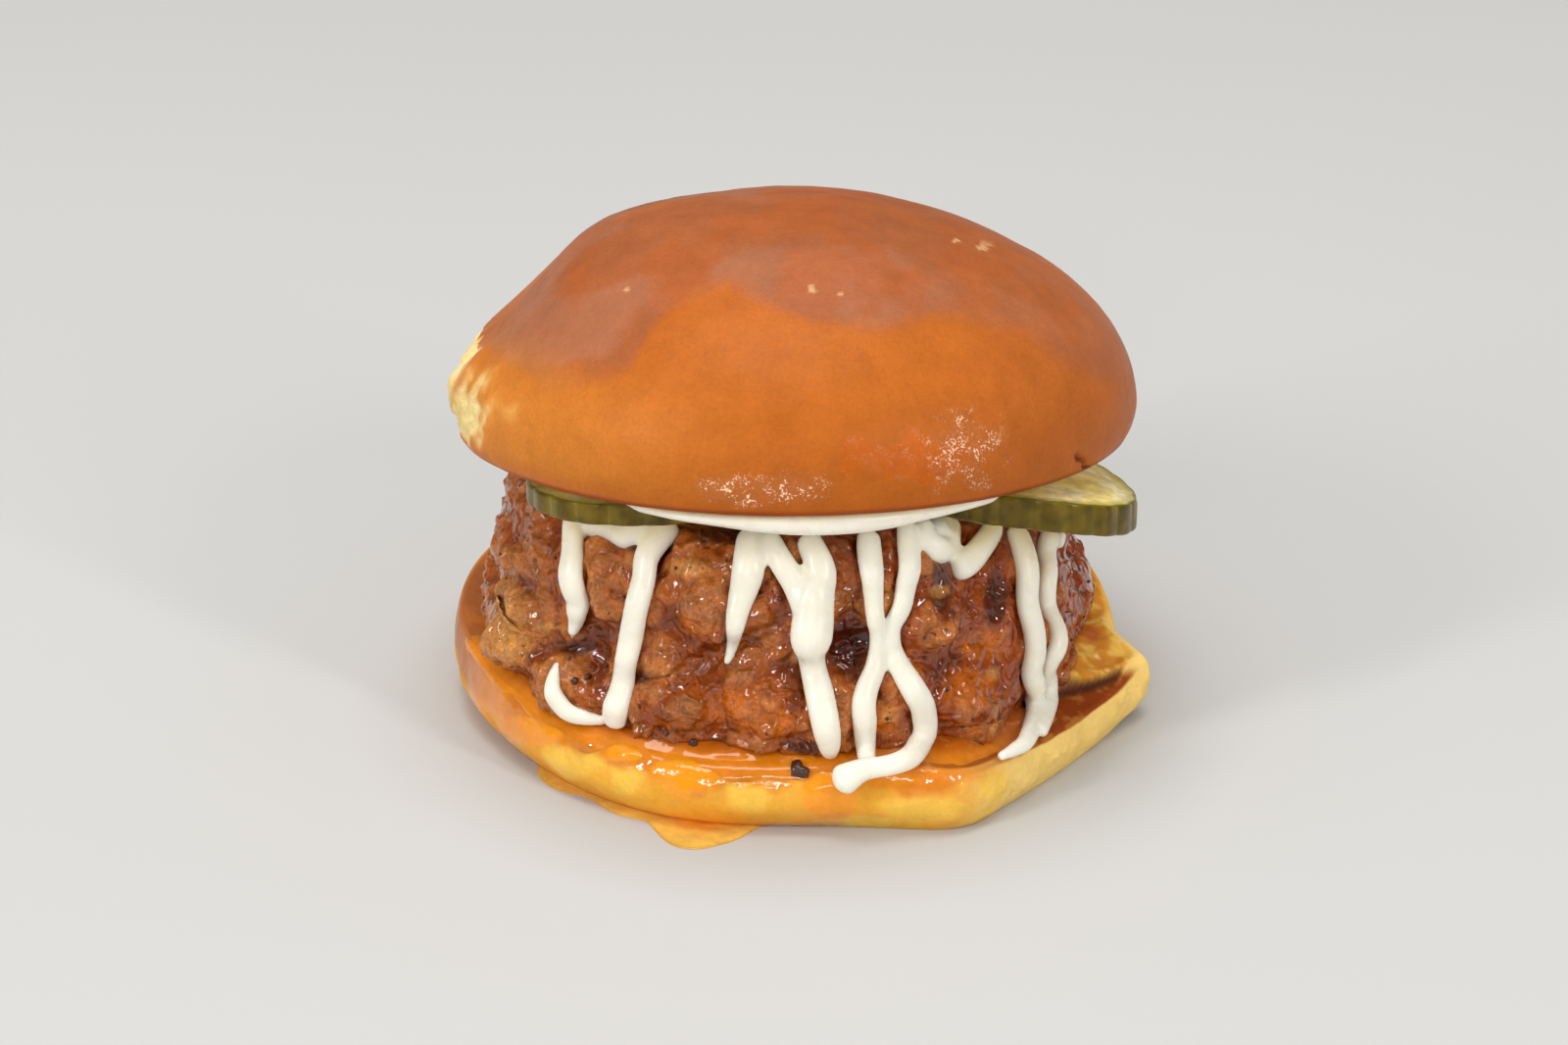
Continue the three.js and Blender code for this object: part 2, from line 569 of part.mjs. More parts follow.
// A closed geometry as a solid that can be joined, turned the right way out if need be
function solid(made) {
  const merged = mergeVertices(made, 1e-4);
  const triVerts = new Uint32Array(merged.index.array);
  const build = () => new wasm.Manifold(
    new wasm.Mesh({ numProp: 3, vertProperties: merged.attributes.position.array, triVerts }),
  );
  const first = build();
  if (first.volume() > 0) return first;
  for (let i = 0; i < triVerts.length; i += 3) {
    [triVerts[i + 1], triVerts[i + 2]] = [triVerts[i + 2], triVerts[i + 1]];
  }
  return build();
}

// A solid as a geometry, its vertices moved to the nearest point of a fine grid
function fromSolid(body) {
  const mesh = body.getMesh();
  const made = new THREE.BufferGeometry();
  const snapped = Float32Array.from(mesh.vertProperties, (v) => Math.round(v / SNAP) * SNAP);
  made.setAttribute("position", new THREE.BufferAttribute(snapped, 3));
  made.setIndex(new THREE.BufferAttribute(new Uint32Array(mesh.triVerts), 1));
  return made;
}

// The outer skin of a solid, without loose scraps and sealed hollows
const largestPiece = (body) => body.decompose().sort((a, b) => b.volume() - a.volume())[0];

// The chicken with its drizzle fused on, as one solid
function drizzledChicken() {
  let body = solid(chickenGeometry());
  for (const strand of strands()) {
    body = body.add(solid(strandGeometry(strand)));
  }
  for (const p of PICKLES) {
    body = body.subtract(solid(pickleGeometry(p, GAP)));
  }
  body = body.subtract(solid(heelGeometry().translate(0, 0, GAP)));
  return fromSolid(largestPiece(solid(fromSolid(largestPiece(body)))));
}

// Materials
const material = (color, roughness) => new THREE.MeshStandardMaterial({ color, roughness, metalness: 0 });
const browned = material(0xbf6a2c, 0.45);
const mayonnaise = material(0xf1e9d6, 0.3);
const gherkin = material(0x6b6420, 0.25);
const glazed = material(0x8a3f16, 0.2);
const crumb = material(0xe2a744, 0.5);

// Assembly
const burger = new THREE.Group();
burger.position.set(-ORIGIN.x, -ORIGIN.y, 0);

function add(name, made, finish, parent = burger) {
  const mesh = new THREE.Mesh(made, finish);
  mesh.name = name;
  parent.add(mesh);
}

const crown = new THREE.Group();
crown.position.set(CROWN.x, 0, CROWN.cutZ);
crown.rotation.x = -radians(CROWN.leanBack);
burger.add(crown);

add("top_bun", crownGeometry(), browned, crown);
add("mayo_spread", spreadGeometry(), mayonnaise);
for (const p of PICKLES) {
  add(p.name, pickleGeometry(p), gherkin);
}
add("fried_chicken", drizzledChicken(), glazed);
add("bottom_bun", heelGeometry(), crumb);

export default burger;
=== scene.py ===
import math

import bmesh
import bpy
import numpy as np
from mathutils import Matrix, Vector
from mathutils.bvhtree import BVHTree
from mathutils.kdtree import KDTree


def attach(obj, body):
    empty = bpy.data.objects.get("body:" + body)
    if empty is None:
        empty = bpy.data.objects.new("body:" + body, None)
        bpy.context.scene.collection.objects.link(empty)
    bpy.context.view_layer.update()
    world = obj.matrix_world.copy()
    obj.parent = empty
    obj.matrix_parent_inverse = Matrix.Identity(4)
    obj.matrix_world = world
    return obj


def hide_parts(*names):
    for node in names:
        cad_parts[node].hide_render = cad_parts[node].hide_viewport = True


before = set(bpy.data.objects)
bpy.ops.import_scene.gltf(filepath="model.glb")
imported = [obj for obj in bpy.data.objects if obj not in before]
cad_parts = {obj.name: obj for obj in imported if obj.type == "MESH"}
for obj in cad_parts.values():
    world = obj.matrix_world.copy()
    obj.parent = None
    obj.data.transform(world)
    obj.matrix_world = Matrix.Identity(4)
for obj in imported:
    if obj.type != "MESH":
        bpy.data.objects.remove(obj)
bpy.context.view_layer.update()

MM = 0.001
GAP = 0.35  # clear air between neighbouring solids
ORIGIN = (2.64, -0.87)  # the frame's origin, seen from the burger's axis

CROWN = dict(
    x=1.2, cut_z=45.1, lean_back=7.5, radius=54.2, cut_inset=2.3, belly=4.8, dome=31.0, fullness=0.97,
)
SPREAD = dict(radius=50.3, thick=3.1, thinner=1.4, over_pickle=0.6)
PICKLES = [
    dict(name="pickle_left", x=-20.6, y=-24.4, radius=18.3, thick=3.4, droop=0.6, side=-1, seed=5),
    dict(name="pickle_right", x=36.8, y=-21.5, radius=17.1, thick=5.0, droop=4.4, side=1, seed=8),
]
PICKLE = dict(ribs=21, rib_depth=0.35, face_wave=0.25)
HEEL = dict(
    radius=53.6, straight=[(0, 53.4), (53, 54.4)], corner_round=5, cut_z=11.4, rim_z=13.4,
    undercut=3.4, cut_inset=1.5,
)
FOLD = dict(x=43.3, y=-22.5, facing=(-0.5, 0.866))  # crease that crosses the heel's right corner
CHICKEN = dict(radius=47.0, crease_depth=2.4, under_spread=4.0)
DRIZZLE = dict(flatness=0.72, sunk=0.12)
VIEW = dict(tilt=24.0, middle_z=27.8, distance=592.0, lens=85.0, sensor=36.0)

# Lumps of crust and, where negative, hollows in it, as (angle, height, across, how far out)
LUMPS = [
    (-62, 20, 15, 3.0), (-66, 32, 14, 0.8), (-48, 37, 12, 2.0), (-31, 39, 6, 2.2),
    (-17, 36, 14, 2.8), (-43, 15, 12, 2.8), (-20, 17, 16, 2.4), (6, 33, 11, 1.8),
    (9, 18, 12, 2.2), (28, 38, 8, 1.4), (30, 29, 10, 2.8), (36, 14, 15, 3.2),
    (55, 31, 12, 1.6), (57, 19, 12, 1.6), (78, 40, 15, 4.2), (-107, 23, 16, 1.0), (-80, 17, 12, 1.0),
    (11, 29, 10, -3.4), (-40, 24, 9, -1.6), (2, 23, 8, -1.2), (30, 22, 8, -1.0),
]

# The chicken's side from the bottom's middle to the top's middle, as (share of radius, share of height)
CHICKEN_PROFILE = np.array([
    (0, 0), (0.62, 0), (0.99, 0.01), (1.025, 0.09), (1.03, 0.24), (0.985, 0.4),
    (0.98, 0.54), (0.95, 0.68), (0.89, 0.83), (0.79, 0.94), (0.55, 1.0), (0, 1.0),
])
SIDE = (0.17, 0.84)

# Strands of mayonnaise at the front, each as points of (across, up, width) in that view
FRONT_STRANDS = [
    [(-31.2, 1.9, 3.6), (-31, -4, 3.7), (-31.4, -9.9, 3.6), (-31.9, -13.6, 3.1), (-32.9, -17.2, 0.9)],
    [(-29.3, 0.8, 3.3), (-26.4, -0.3, 3.8), (-23.2, -0.8, 4.2), (-19.4, 0.7, 4)],
    [
        (-17, 0.6, 4.2), (-20.1, -3.9, 3.6), (-21, -9.7, 3.2), (-22.6, -15.7, 3.3),
        (-23.4, -21.6, 3), (-24.6, -26.1, 3.7), (-25.3, -29.4, 3.5),
    ],
    [(-33, -20.6, 1.3), (-33.2, -22.9, 2.1), (-32.8, -25.8, 2.7), (-30.6, -28.4, 2.3), (-27, -30, 0.9)],
    [(-5, -1, 3.6), (-5.2, -6.3, 4.3), (-6.8, -12.8, 2.9), (-7.5, -17.8, 1.5), (-8.4, -20.3, 0.6)],
    [(-2.2, -1.7, 3), (0, -5.6, 3.3), (2.2, -9.7, 3.6), (3.6, -14, 3.4)],
    [
        (3.6, -1.7, 3.5), (5.5, -6.8, 3.9), (4.4, -11.2, 5.2), (3.8, -15.6, 5.8),
        (4.2, -20.6, 3.5), (5.3, -25.2, 3.8), (6.2, -30.7, 3.5), (7, -34.8, 1.6),
    ],
    [
        (12.7, -1.7, 3.3), (12.9, -6.8, 3.1), (13.2, -12.7, 2.3), (14.3, -17.1, 2.1),
        (13.7, -21.5, 2.7), (11.9, -26, 3.1), (12, -30.4, 3), (12.3, -35.1, 2.2),
    ],
    [
        (17.8, 0.6, 3.2), (18.2, -6.1, 3), (17.5, -11.2, 2.6), (16.4, -15.6, 2.3),
        (16.4, -19.3, 2.6), (18.7, -23.8, 3.3), (20.6, -27.5, 3.4), (21, -31.2, 3.3),
        (19.2, -34.6, 3), (15.5, -36, 2.6), (11.8, -36.6, 2.9), (8.9, -38.1, 4.2),
    ],
    [(20.4, 0.6, 3.2), (20.9, -1.8, 3.6), (22.8, -3.3, 3.9), (24.9, -2.2, 3.8), (25.2, 0.4, 3.4)],
    [(22.8, 1.2, 4.4), (22.8, -1.4, 5.6)],
    [(32, -0.2, 3.4), (30.2, -2.8, 3.9), (28, -5, 4.1), (26.3, -6, 3.8)],
    [
        (35.2, -1.2, 4.2), (36.3, -11.2, 3.6), (37.2, -17.5, 3.4), (38.4, -24.2, 3.4),
        (39.2, -28.4, 2.9), (37, -32.9, 2.3), (34.8, -34.3, 1.6), (32.5, -35.2, 0.8),
    ],
    [(41.3, -2.2, 3.8), (41.4, -11.3, 3.4), (40.9, -20.2, 3), (41.5, -26.7, 2.7), (39.3, -31.9, 1.9)],
    [(48.5, -1.8, 1.6), (46.8, -2.6, 2.2), (44.5, -3.4, 2.2)],
]

# Two strands that repeat round the sides and back, as (angle, how far down they start, strand)
LONG_DRIP = [(-2, 0, 3.4), (-3, -4.5, 3.2), (-2, -9, 2.8), (-1, -13.5, 2.8), (-2, -17, 3.7)]
SHORT_DRIP = [(0, 0, 3.4), (0, -4, 3.6), (-1, -8, 3.0), (-2, -11.5, 0.9)]
OTHER_STRANDS = [
    (98, 8, SHORT_DRIP), (128, 9, LONG_DRIP), (178, 13, LONG_DRIP), (205, 13, SHORT_DRIP),
    (238, 10, LONG_DRIP),
]

STRAND_STEP = 0.55  # between the rings of a strand's mesh
STRAND_VOXEL = 0.36  # the grid on which crossing strands are joined
STRAND_SWELL = 0.65  # what smoothing the joined strands takes off their width
GLAZE = dict(inner=45.0, sunk=0.5)  # where it starts under the chicken, how deep it reaches into the heel
PEPPER = dict(tries=900, kept=0.40, steepest=0.75, below=0.043)  # below is in metres

# Places in the picture, in pixels of its 1600 by 1066 frame, each as ((x, y), (half width, half height))
PICTURE = (1600, 1066)
CROWN_TORN = [((474, 424), (30, 43))]
CROWN_PALE = [((480, 424), (42, 62))]
CROWN_DAMP = [((925, 468), (72, 30))]
CROWN_BEADS = [((985, 460), (48, 44))]
# Where the crown's lower front gets real gloss and painted glints
CROWN_GLITTER = [((770, 499), (95, 20))]
FLOUR_SPECKS = [
    ((829, 296), (5, 3.5)), ((858, 300), (4, 2.8)), ((1005, 250), (8, 5.6)), ((975, 246), (4, 2.8)),
    ((640, 296), (4, 2.8)), ((700, 372), (2, 1.4)),
]
HEEL_YELLOW = [
    ((590, 775), (36, 24)), ((640, 790), (22, 26)), ((765, 808), (30, 30)), ((780, 768), (26, 18)),
    ((950, 826), (70, 20)), ((1010, 800), (22, 22)), ((880, 838), (60, 8)),
]
HEEL_ORANGE = [((905, 795), (50, 12)), ((545, 745), (40, 16)), ((500, 705), (24, 30)), ((760, 776), (60, 9))]
HEEL_RUNS = [((700, 786), (58, 46)), ((848, 812), (42, 46)), ((640, 768), (36, 16))]
CHICKEN_DARK = [
    ((868, 655), (24, 42)), ((745, 545), (40, 12)), ((640, 690), (30, 10)), ((592, 660), (36, 12)),
    ((820, 762), (30, 9)), ((960, 600), (14, 40)), ((1015, 610), (16, 40)), ((660, 560), (26, 12)),
    ((935, 545), (16, 20)), ((990, 765), (24, 10)),
]
CHICKEN_AMBER = [
    ((1000, 655), (40, 26)), ((745, 720), (46, 22)), ((790, 735), (30, 16)), ((905, 735), (18, 22)),
    ((930, 690), (20, 30)), ((705, 640), (30, 14)), ((985, 700), (46, 26)),
]
CHICKEN_GOLD = [
    ((958, 603), (13, 8)), ((906, 612), (7, 12)), ((700, 580), (30, 10)), ((560, 640), (24, 8)),
    ((908, 730), (15, 11)), ((1013, 688), (10, 12)), ((812, 672), (16, 9)), ((520, 655), (24, 36)),
    ((1020, 745), (13, 13)), ((848, 580), (14, 10)),
]
# Lower edge of the painted sheen that makes the crown's top duller and greyer, as pixels (x, y)
CAP_EDGE = [
    (470, 330), (560, 400), (640, 380), (662, 336), (690, 304), (744, 286), (800, 312), (845, 332),
    (900, 334), (955, 320), (1040, 332), (1110, 390),
]
# Larger crumbs, as ((x, y), size across in millimetres)
CRUMBS = [((815, 787), 2.7), ((707, 757), 1.3), ((680, 748), 0.95), ((586, 694), 1.1), ((600, 690), 0.95)]

# Lights, in metres and watts, as (name, place, target, (width, height), power)
LIGHTS = [
    ("top", (-0.10, 0.08, 1.55), (0, 0.03, 0.04), (1.0, 0.9), 15.5),
    ("left", (-1.10, -0.80, 0.80), (0, 0, 0.04), (0.10, 0.70), 8.6),
    ("front", (-0.15, -1.45, 0.62), (0, 0, 0.04), (0.50, 0.08), 3.2),
    ("right", (0.95, -0.95, 0.76), (0, 0, 0.04), (0.09, 0.60), 6.2),
]


# Small mathematics, on arrays
def turn(degrees):
    """Angles brought to between -180 and 180."""
    return (np.asarray(degrees, float) + 180) % 360 - 180


def sind(degrees):
    return np.sin(np.radians(degrees))


def cosd(degrees):
    return np.cos(np.radians(degrees))


def mix(a, b, t):
    return a + (b - a) * t


def ramp(x, a, b):
    """0 up to a, 1 from b on, and smooth between."""
    t = np.clip((np.asarray(x, float) - a) / (b - a), 0, 1)
    return t * t * (3 - 2 * t)


def band(x, a, b, c, d):
    """Rises from 0 to 1 between a and b, and falls back to 0 between c and d."""
    return ramp(x, a, b) * (1 - ramp(x, c, d))


def hump(x, middle, half):
    """1 at the middle, falling smoothly to 0 at half on either side."""
    t = (np.asarray(x, float) - middle) / half
    return np.where(np.abs(t) < 1, (1 - t * t) ** 2, 0.0)


def hump_turn(angle, middle, half):
    return hump(turn(np.asarray(angle, float) - middle), 0, half)


def soft_min(a, b, k):
    h = np.clip(0.5 + 0.5 * (b - a) / k, 0, 1)
    return mix(b, a, h) - k * h * (1 - h)


def soft_max(a, b, k):
    return -soft_min(-a, -b, k)


def near(angle, r):
    """Where an angle points to at a distance from the axis, as x and y."""
    return sind(angle) * r, -cosd(angle) * r


def point(x, y, z):
    return np.stack(np.broadcast_arrays(x, y, z), -1)


def direction(angle, tilt):
    """A unit arrow pointing out at an angle, and tilted up."""
    return point(*near(angle, cosd(tilt)), sind(tilt))


def circle(columns):
    return np.arange(columns) * 360 / columns


def through(rows, t):
    """A smooth curve through rows of numbers, read at t from 0 to 1."""
    rows = np.asarray(rows, float)
    at = np.clip(t, 0, 1) * (len(rows) - 1)
    i = np.minimum(np.floor(at).astype(int), len(rows) - 2)
    f = (at - i)[..., None]
    p, q = rows[np.maximum(i - 1, 0)], rows[i]
    r, s = rows[i + 1], rows[np.minimum(i + 2, len(rows) - 1)]
    return q + 0.5 * f * (r - p + f * (2 * p - 5 * q + 4 * r - s + f * (3 * (q - r) + s - p)))


def hashed(i, j, k, seed):
    low = 0xFFFFFFFF
    h = (i * 73856093 & low) ^ (j * 19349663 & low) ^ (k * 83492791 & low) ^ (seed * 40503 & low)
    h = (h ^ (h >> 15)) * 739982445 & low
    h = (h ^ (h >> 12)) * 695872825 & low
    return (h ^ (h >> 15)) / 4294967296.0


def noise(x, y, z, size, seed):
    """Seeded smooth noise from 0 to 1, with cells of the given size."""
    p = [np.asarray(v, float) / size for v in np.broadcast_arrays(x, y, z)]
    cell = [np.floor(v).astype(np.int64) for v in p]
    u, v, w = [(a - c) ** 2 * (3 - 2 * (a - c)) for a, c in zip(p, cell)]
    total = 0
    for n in range(8):
        a, b, c = n & 1, (n >> 1) & 1, n >> 2
        share = (u if a else 1 - u) * (v if b else 1 - v) * (w if c else 1 - w)
        total = total + share * hashed(cell[0] + a, cell[1] + b, cell[2] + c, seed)
    return total


def fractal(x, y, z, size, seed, octaves=3):
    total, weight = 0, 0
    for n in range(octaves):
        total = total + noise(x, y, z, size / 2**n, seed + 7 * n) / 2**n
        weight += 1 / 2**n
    return total / weight


def rough(x, y, z, size, seed, octaves=3):
    """Fractal noise about 0."""
    return fractal(x, y, z, size, seed, octaves) - 0.5


def nodules(x, y, z, size, seed):
    """Rounded knobs of uneven size, one to a cell."""
    p = [np.asarray(v, float) / size for v in (x, y, z)]
    cell = [np.floor(v).astype(np.int64) for v in p]
    best = np.zeros(np.broadcast(*p).shape)
    for n in range(27):
        c = [cell[0] + n % 3 - 1, cell[1] + n // 3 % 3 - 1, cell[2] + n // 9 - 1]
        d = [c[a] + 0.15 + 0.7 * hashed(*c, seed + a) - p[a] for a in range(3)]
        big = 0.55 + 0.45 * hashed(*c, seed + 3)
        far = (d[0] ** 2 + d[1] ** 2 + d[2] ** 2) / (0.78 * big) ** 2
        best = np.maximum(best, np.where(far < 1, big * np.maximum(1 - far, 0) ** 0.6, 0))
    return best


# Form shared with the CAD solids
LEAN = math.tan(math.radians(CROWN["lean_back"]))


def crown_plane(y):
    return CROWN["cut_z"] - y * LEAN


def pickle_top(p, x, y):
    out = np.clip(((x - p["x"]) * p["side"] + 4) / (p["radius"] + 4), 0, 1)
    return crown_plane(y) - SPREAD["over_pickle"] - 2 * GAP - p["droop"] * out**1.6


def under_pickle(p, x, y):
    out = math.hypot(p["x"], p["y"])
    along = np.maximum(0, ((x - p["x"]) * p["x"] + (y - p["y"]) * p["y"]) / out)
    off = np.hypot(x - p["x"] - along * p["x"] / out, y - p["y"] - along * p["y"] / out)
    return 1 - ramp(off, p["radius"] + 0.5, p["radius"] + 4)


def heel_radius(angle):
    a = turn(angle)
    rounded = HEEL["radius"] + 0.5 * cosd(3 * a + 40) + 0.35 * cosd(5 * a)
    full = rounded - 1.3 * hump_turn(a, -58, 32) + 9 * ramp(a, 6, 24) * (1 - ramp(a, 72, 88))
    sides = []
    for at, distance in HEEL["straight"]:
        off = np.abs(turn(a - at))
        sides.append(np.where(off < 50, distance / cosd(np.minimum(off, 50)), 99.0))
    return soft_min(full, soft_min(*sides, HEEL["corner_round"]), 1)


def heel_rim(angle):
    pressed = 3.0 * hump_turn(angle, -8, 70) + 6.2 * hump_turn(angle, 62, 48)
    curled = 1.6 * hump_turn(angle, -112, 50) + 1.2 * hump_turn(angle, 130, 40)
    return HEEL["rim_z"] - pressed + curled + 0.4 * cosd(4 * np.asarray(angle) + 25)


def behind_fold(x, y):
    """How far behind the crease at the heel's right corner a place is."""
    return FOLD["facing"][0] * (x - FOLD["x"]) + FOLD["facing"][1] * (y - FOLD["y"])


def heel_top(x, y):
    angle = np.degrees(np.arctan2(x, -y))
    share = np.hypot(x, y) / heel_radius(angle)
    fold = 1.5 * ramp(behind_fold(x, y), -0.6, 2.2) * ramp(x, 36, 43) * (1 - ramp(y, -8, 4))
    return mix(HEEL["cut_z"], heel_rim(angle), ramp(share, 0.5, 0.97)) + fold


def heel_lift(angle, r):
    return 1.2 * hump_turn(angle, 80, 16) * ramp(r, 44, 58)


def heel_undercut(angle):
    return HEEL["undercut"] - 2.6 * hump_turn(angle, 52, 46)


def heel_inset(angle):
    return HEEL["cut_inset"] + 2.2 * hump_turn(angle, -12, 58) + 1.4 * hump_turn(angle, 81, 13)


def heel_rounding(up):
    """How much of its inset the heel's side has taken at a share of its height."""
    return 1 - np.sqrt(1 - np.clip((up - 0.5) / 0.5, 0, 1) ** 2)


def chicken_radius(angle):
    a = np.asarray(angle, float)
    wave = 0.5 * cosd(2 * a + 160) + 0.6 * cosd(3 * a - 50)
    drawn_in = 0.8 * hump_turn(a, 62, 30) + 1.8 * hump_turn(a, -92, 42)
    return CHICKEN["radius"] + wave + 1.2 * hump_turn(a, 12, 30) - drawn_in


def chicken_top(x, y):
    top = crown_plane(y) - CHICKEN["under_spread"]
    for p in PICKLES:
        below = pickle_top(p, x, y) - p["thick"] - GAP - 0.2
        top = np.minimum(top, mix(top, below, under_pickle(p, x, y)))
    return top


def crease_up(angle):
    a = turn(angle)
    return mix(0.44, 0.26 + 0.4 * ramp(a, -28, 14), 1 - ramp(np.abs(a), 60, 100))


def chicken_body(angle, t):
    """The chicken without its crust; t runs from the bottom's middle to the top's middle."""
    angle, t = np.broadcast_arrays(np.asarray(angle, float), np.asarray(t, float))
    share, up = np.moveaxis(through(CHICKEN_PROFILE, t), -1, 0)
    deep = (0.65 + 0.35 * cosd(angle + 50)) * (1 - 0.8 * hump_turn(angle, 45, 32))
    crease = CHICKEN["crease_depth"] * deep * hump(up, crease_up(angle), 0.13)
    r = np.maximum(0, chicken_radius(angle) * share - crease)
    x, y = near(angle, r)
    return np.stack([x, y, mix(heel_top(x, y) + 2 * GAP, chicken_top(x, y), up)], -1)


def chicken_facing(angle, t):
    at = np.clip(t, 0.02, 0.98)
    across = chicken_body(angle + 1, at) - chicken_body(angle - 1, at)
    up = chicken_body(angle, at + 0.01) - chicken_body(angle, at - 0.01)
    normal = np.cross(across, up)
    return normal / np.linalg.norm(normal, axis=-1, keepdims=True)


def crust(angle, p):
    """How far the crust stands out from the chicken's body at a point."""
    x, y, z = np.moveaxis(p, -1, 0)
    out, into = np.zeros(z.shape), np.zeros(z.shape)
    for at, height, across, depth in LUMPS:
        sideways = np.radians(turn(angle - at)) * CHICKEN["radius"]
        far = np.hypot(sideways, z - height) / (across / 2)
        lump = depth * np.maximum(1 - far * far, 0) ** 0.7
        out, into = np.maximum(out, lump), np.minimum(into, lump)
    return 0.75 * out + into + 2.4 * nodules(x, y, z, 9.5, 11) + 1.0 * nodules(x, y, z, 5, 23) - 1.2


def showing(t):
    """1 on the chicken's side, where it has a crust, and 0 on its top and bottom."""
    return ramp(t, SIDE[0] - 0.05, SIDE[0] + 0.03) * (1 - ramp(t, SIDE[1], SIDE[1] + 0.1))


def crown_radius(angle):
    return CROWN["radius"] + 0.5 * cosd(2 * angle - 40) + 0.4 * cosd(3 * angle + 70)


def crown_point(angle, rise):
    """The crown's skin about its own cut; rise is -90 at the cut, 0 at the belly and 90 at the top."""
    angle, rise = np.broadcast_arrays(np.asarray(angle, float), np.asarray(rise, float))
    wide, cos, sin = crown_radius(angle), cosd(rise), sind(rise)
    domed = wide * np.maximum(cos, 0) ** CROWN["fullness"]
    r = np.where(rise > 0, domed, wide - CROWN["cut_inset"] * (1 - cos))
    z = CROWN["belly"] + np.where(rise > 0, CROWN["dome"], CROWN["belly"]) * sin
    x, y = near(angle, r)
    shoulder = 1.5 * hump_turn(angle, -70, 80) * hump(rise, 66, 24)
    flat = 3.0 * hump_turn(angle, -92, 50) * hump(rise, 30, 26)
    slope = 1.5 * hump_turn(angle, 75, 65) * hump(rise, 52, 34)
    torn = hump_turn(angle, -84, 27) * hump(rise, 4, 24) * (0.6 + 1.6 * (noise(x, y, z, 4.5, 31) - 0.5))
    soft = 0.9 * (noise(x, y, z, 21, 41) - 0.5)
    out = np.where(rise > -60, shoulder - flat - slope + torn + soft, 0)
    tilt = np.maximum(rise, 0)
    x, y = near(angle, r + out * cosd(tilt))
    return np.stack([x, y, z + out * sind(tilt)], -1)


# Places in the picture
def pixel(points):
    """Where points show in the picture, in pixels of its 1600 by 1066 frame."""
    x, y, z = np.moveaxis(np.asarray(points, float), -1, 0)
    tilt, above = VIEW["tilt"], z - VIEW["middle_z"]
    depth = VIEW["distance"] + y * cosd(tilt) - above * sind(tilt)
    scale = PICTURE[0] * VIEW["lens"] / VIEW["sensor"] / depth
    up = y * sind(tilt) + above * cosd(tilt)
    return PICTURE[0] / 2 + x * scale, PICTURE[1] / 2 - up * scale


def spots(at, places, ragged, soft=0.35):
    """1 inside any of some ovals of the picture and 0 outside them, for places given in pixels."""
    inside = 0
    for middle, reach in places:
        far = np.hypot((at[0] - middle[0]) / reach[0], (at[1] - middle[1]) / reach[1])
        inside = np.maximum(inside, ramp(1 - far + ragged, 0, soft))
    return inside


# Making meshes
def in_row_frame(points):
    """Points in millimetres about the burger's axis, as metres about the frame's origin."""
    return (np.asarray(points, float) - np.array([ORIGIN[0], ORIGIN[1], 0])) * MM


def mesh_object(name, points, faces, attributes=None):
    mesh = bpy.data.meshes.new(name)
    points = in_row_frame(points)
    faces = [f for f in faces if len(f)]
    sizes = np.concatenate([np.full(len(f), f.shape[1]) for f in faces])
    loops = np.concatenate([f.ravel() for f in faces]).astype(np.int32)
    mesh.vertices.add(len(points))
    mesh.vertices.foreach_set("co", points.ravel().astype(np.float32))
    mesh.loops.add(len(loops))
    mesh.loops.foreach_set("vertex_index", loops)
    mesh.polygons.add(len(sizes))
    mesh.polygons.foreach_set("loop_start", np.concatenate([[0], np.cumsum(sizes)[:-1]]).astype(np.int32))
    mesh.polygons.foreach_set("loop_total", sizes.astype(np.int32))
    mesh.polygons.foreach_set("use_smooth", np.ones(len(sizes), bool))
    for key, values in (attributes or {}).items():
        values = np.asarray(values, np.float32)
        if values.ndim == 2:
            made = mesh.attributes.new(key, "FLOAT_COLOR", "POINT")
            made.data.foreach_set("color", np.column_stack([values, np.ones(len(values))]).ravel())
        else:
            made = mesh.attributes.new(key, "FLOAT", "POINT")
            made.data.foreach_set("value", values.ravel())
    mesh.update()
    mesh.validate()
    made = bpy.data.objects.new(name, mesh)
    bpy.context.scene.collection.objects.link(made)
    return made


def shell_mesh(grid):
    """Points and faces of a closed surface: rings of points, with one more point at either end."""
    rings, columns = grid.shape[:2]
    points = np.concatenate([[grid[0].mean(0)], grid.reshape(-1, 3), [grid[-1].mean(0)]])
    ring, column = np.meshgrid(np.arange(rings - 1), np.arange(columns), indexing="ij")
    after = (column + 1) % columns
    a, b = 1 + ring * columns + column, 1 + ring * columns + after
    quads = np.stack([a, b, b + columns, a + columns], -1).reshape(-1, 4)
    c = np.arange(columns)
    after = (c + 1) % columns
    last = 1 + rings * columns
    low = np.stack([np.zeros_like(c), 1 + after, 1 + c], -1)
    high = np.stack([np.full_like(c, last), last - columns + c, last - columns + after], -1)
    return points, [quads, low, high]


def shell_object(name, grid, attributes=None):
    """A closed object from a grid of points, rings by columns, with attributes given on the grid."""
    flat = {}
    for key, values in (attributes or {}).items():
        rows = values.reshape(-1, *values.shape[2:])
        flat[key] = np.concatenate([rows[:1], rows, rows[-1:]])
    return mesh_object(name, *shell_mesh(grid), flat)


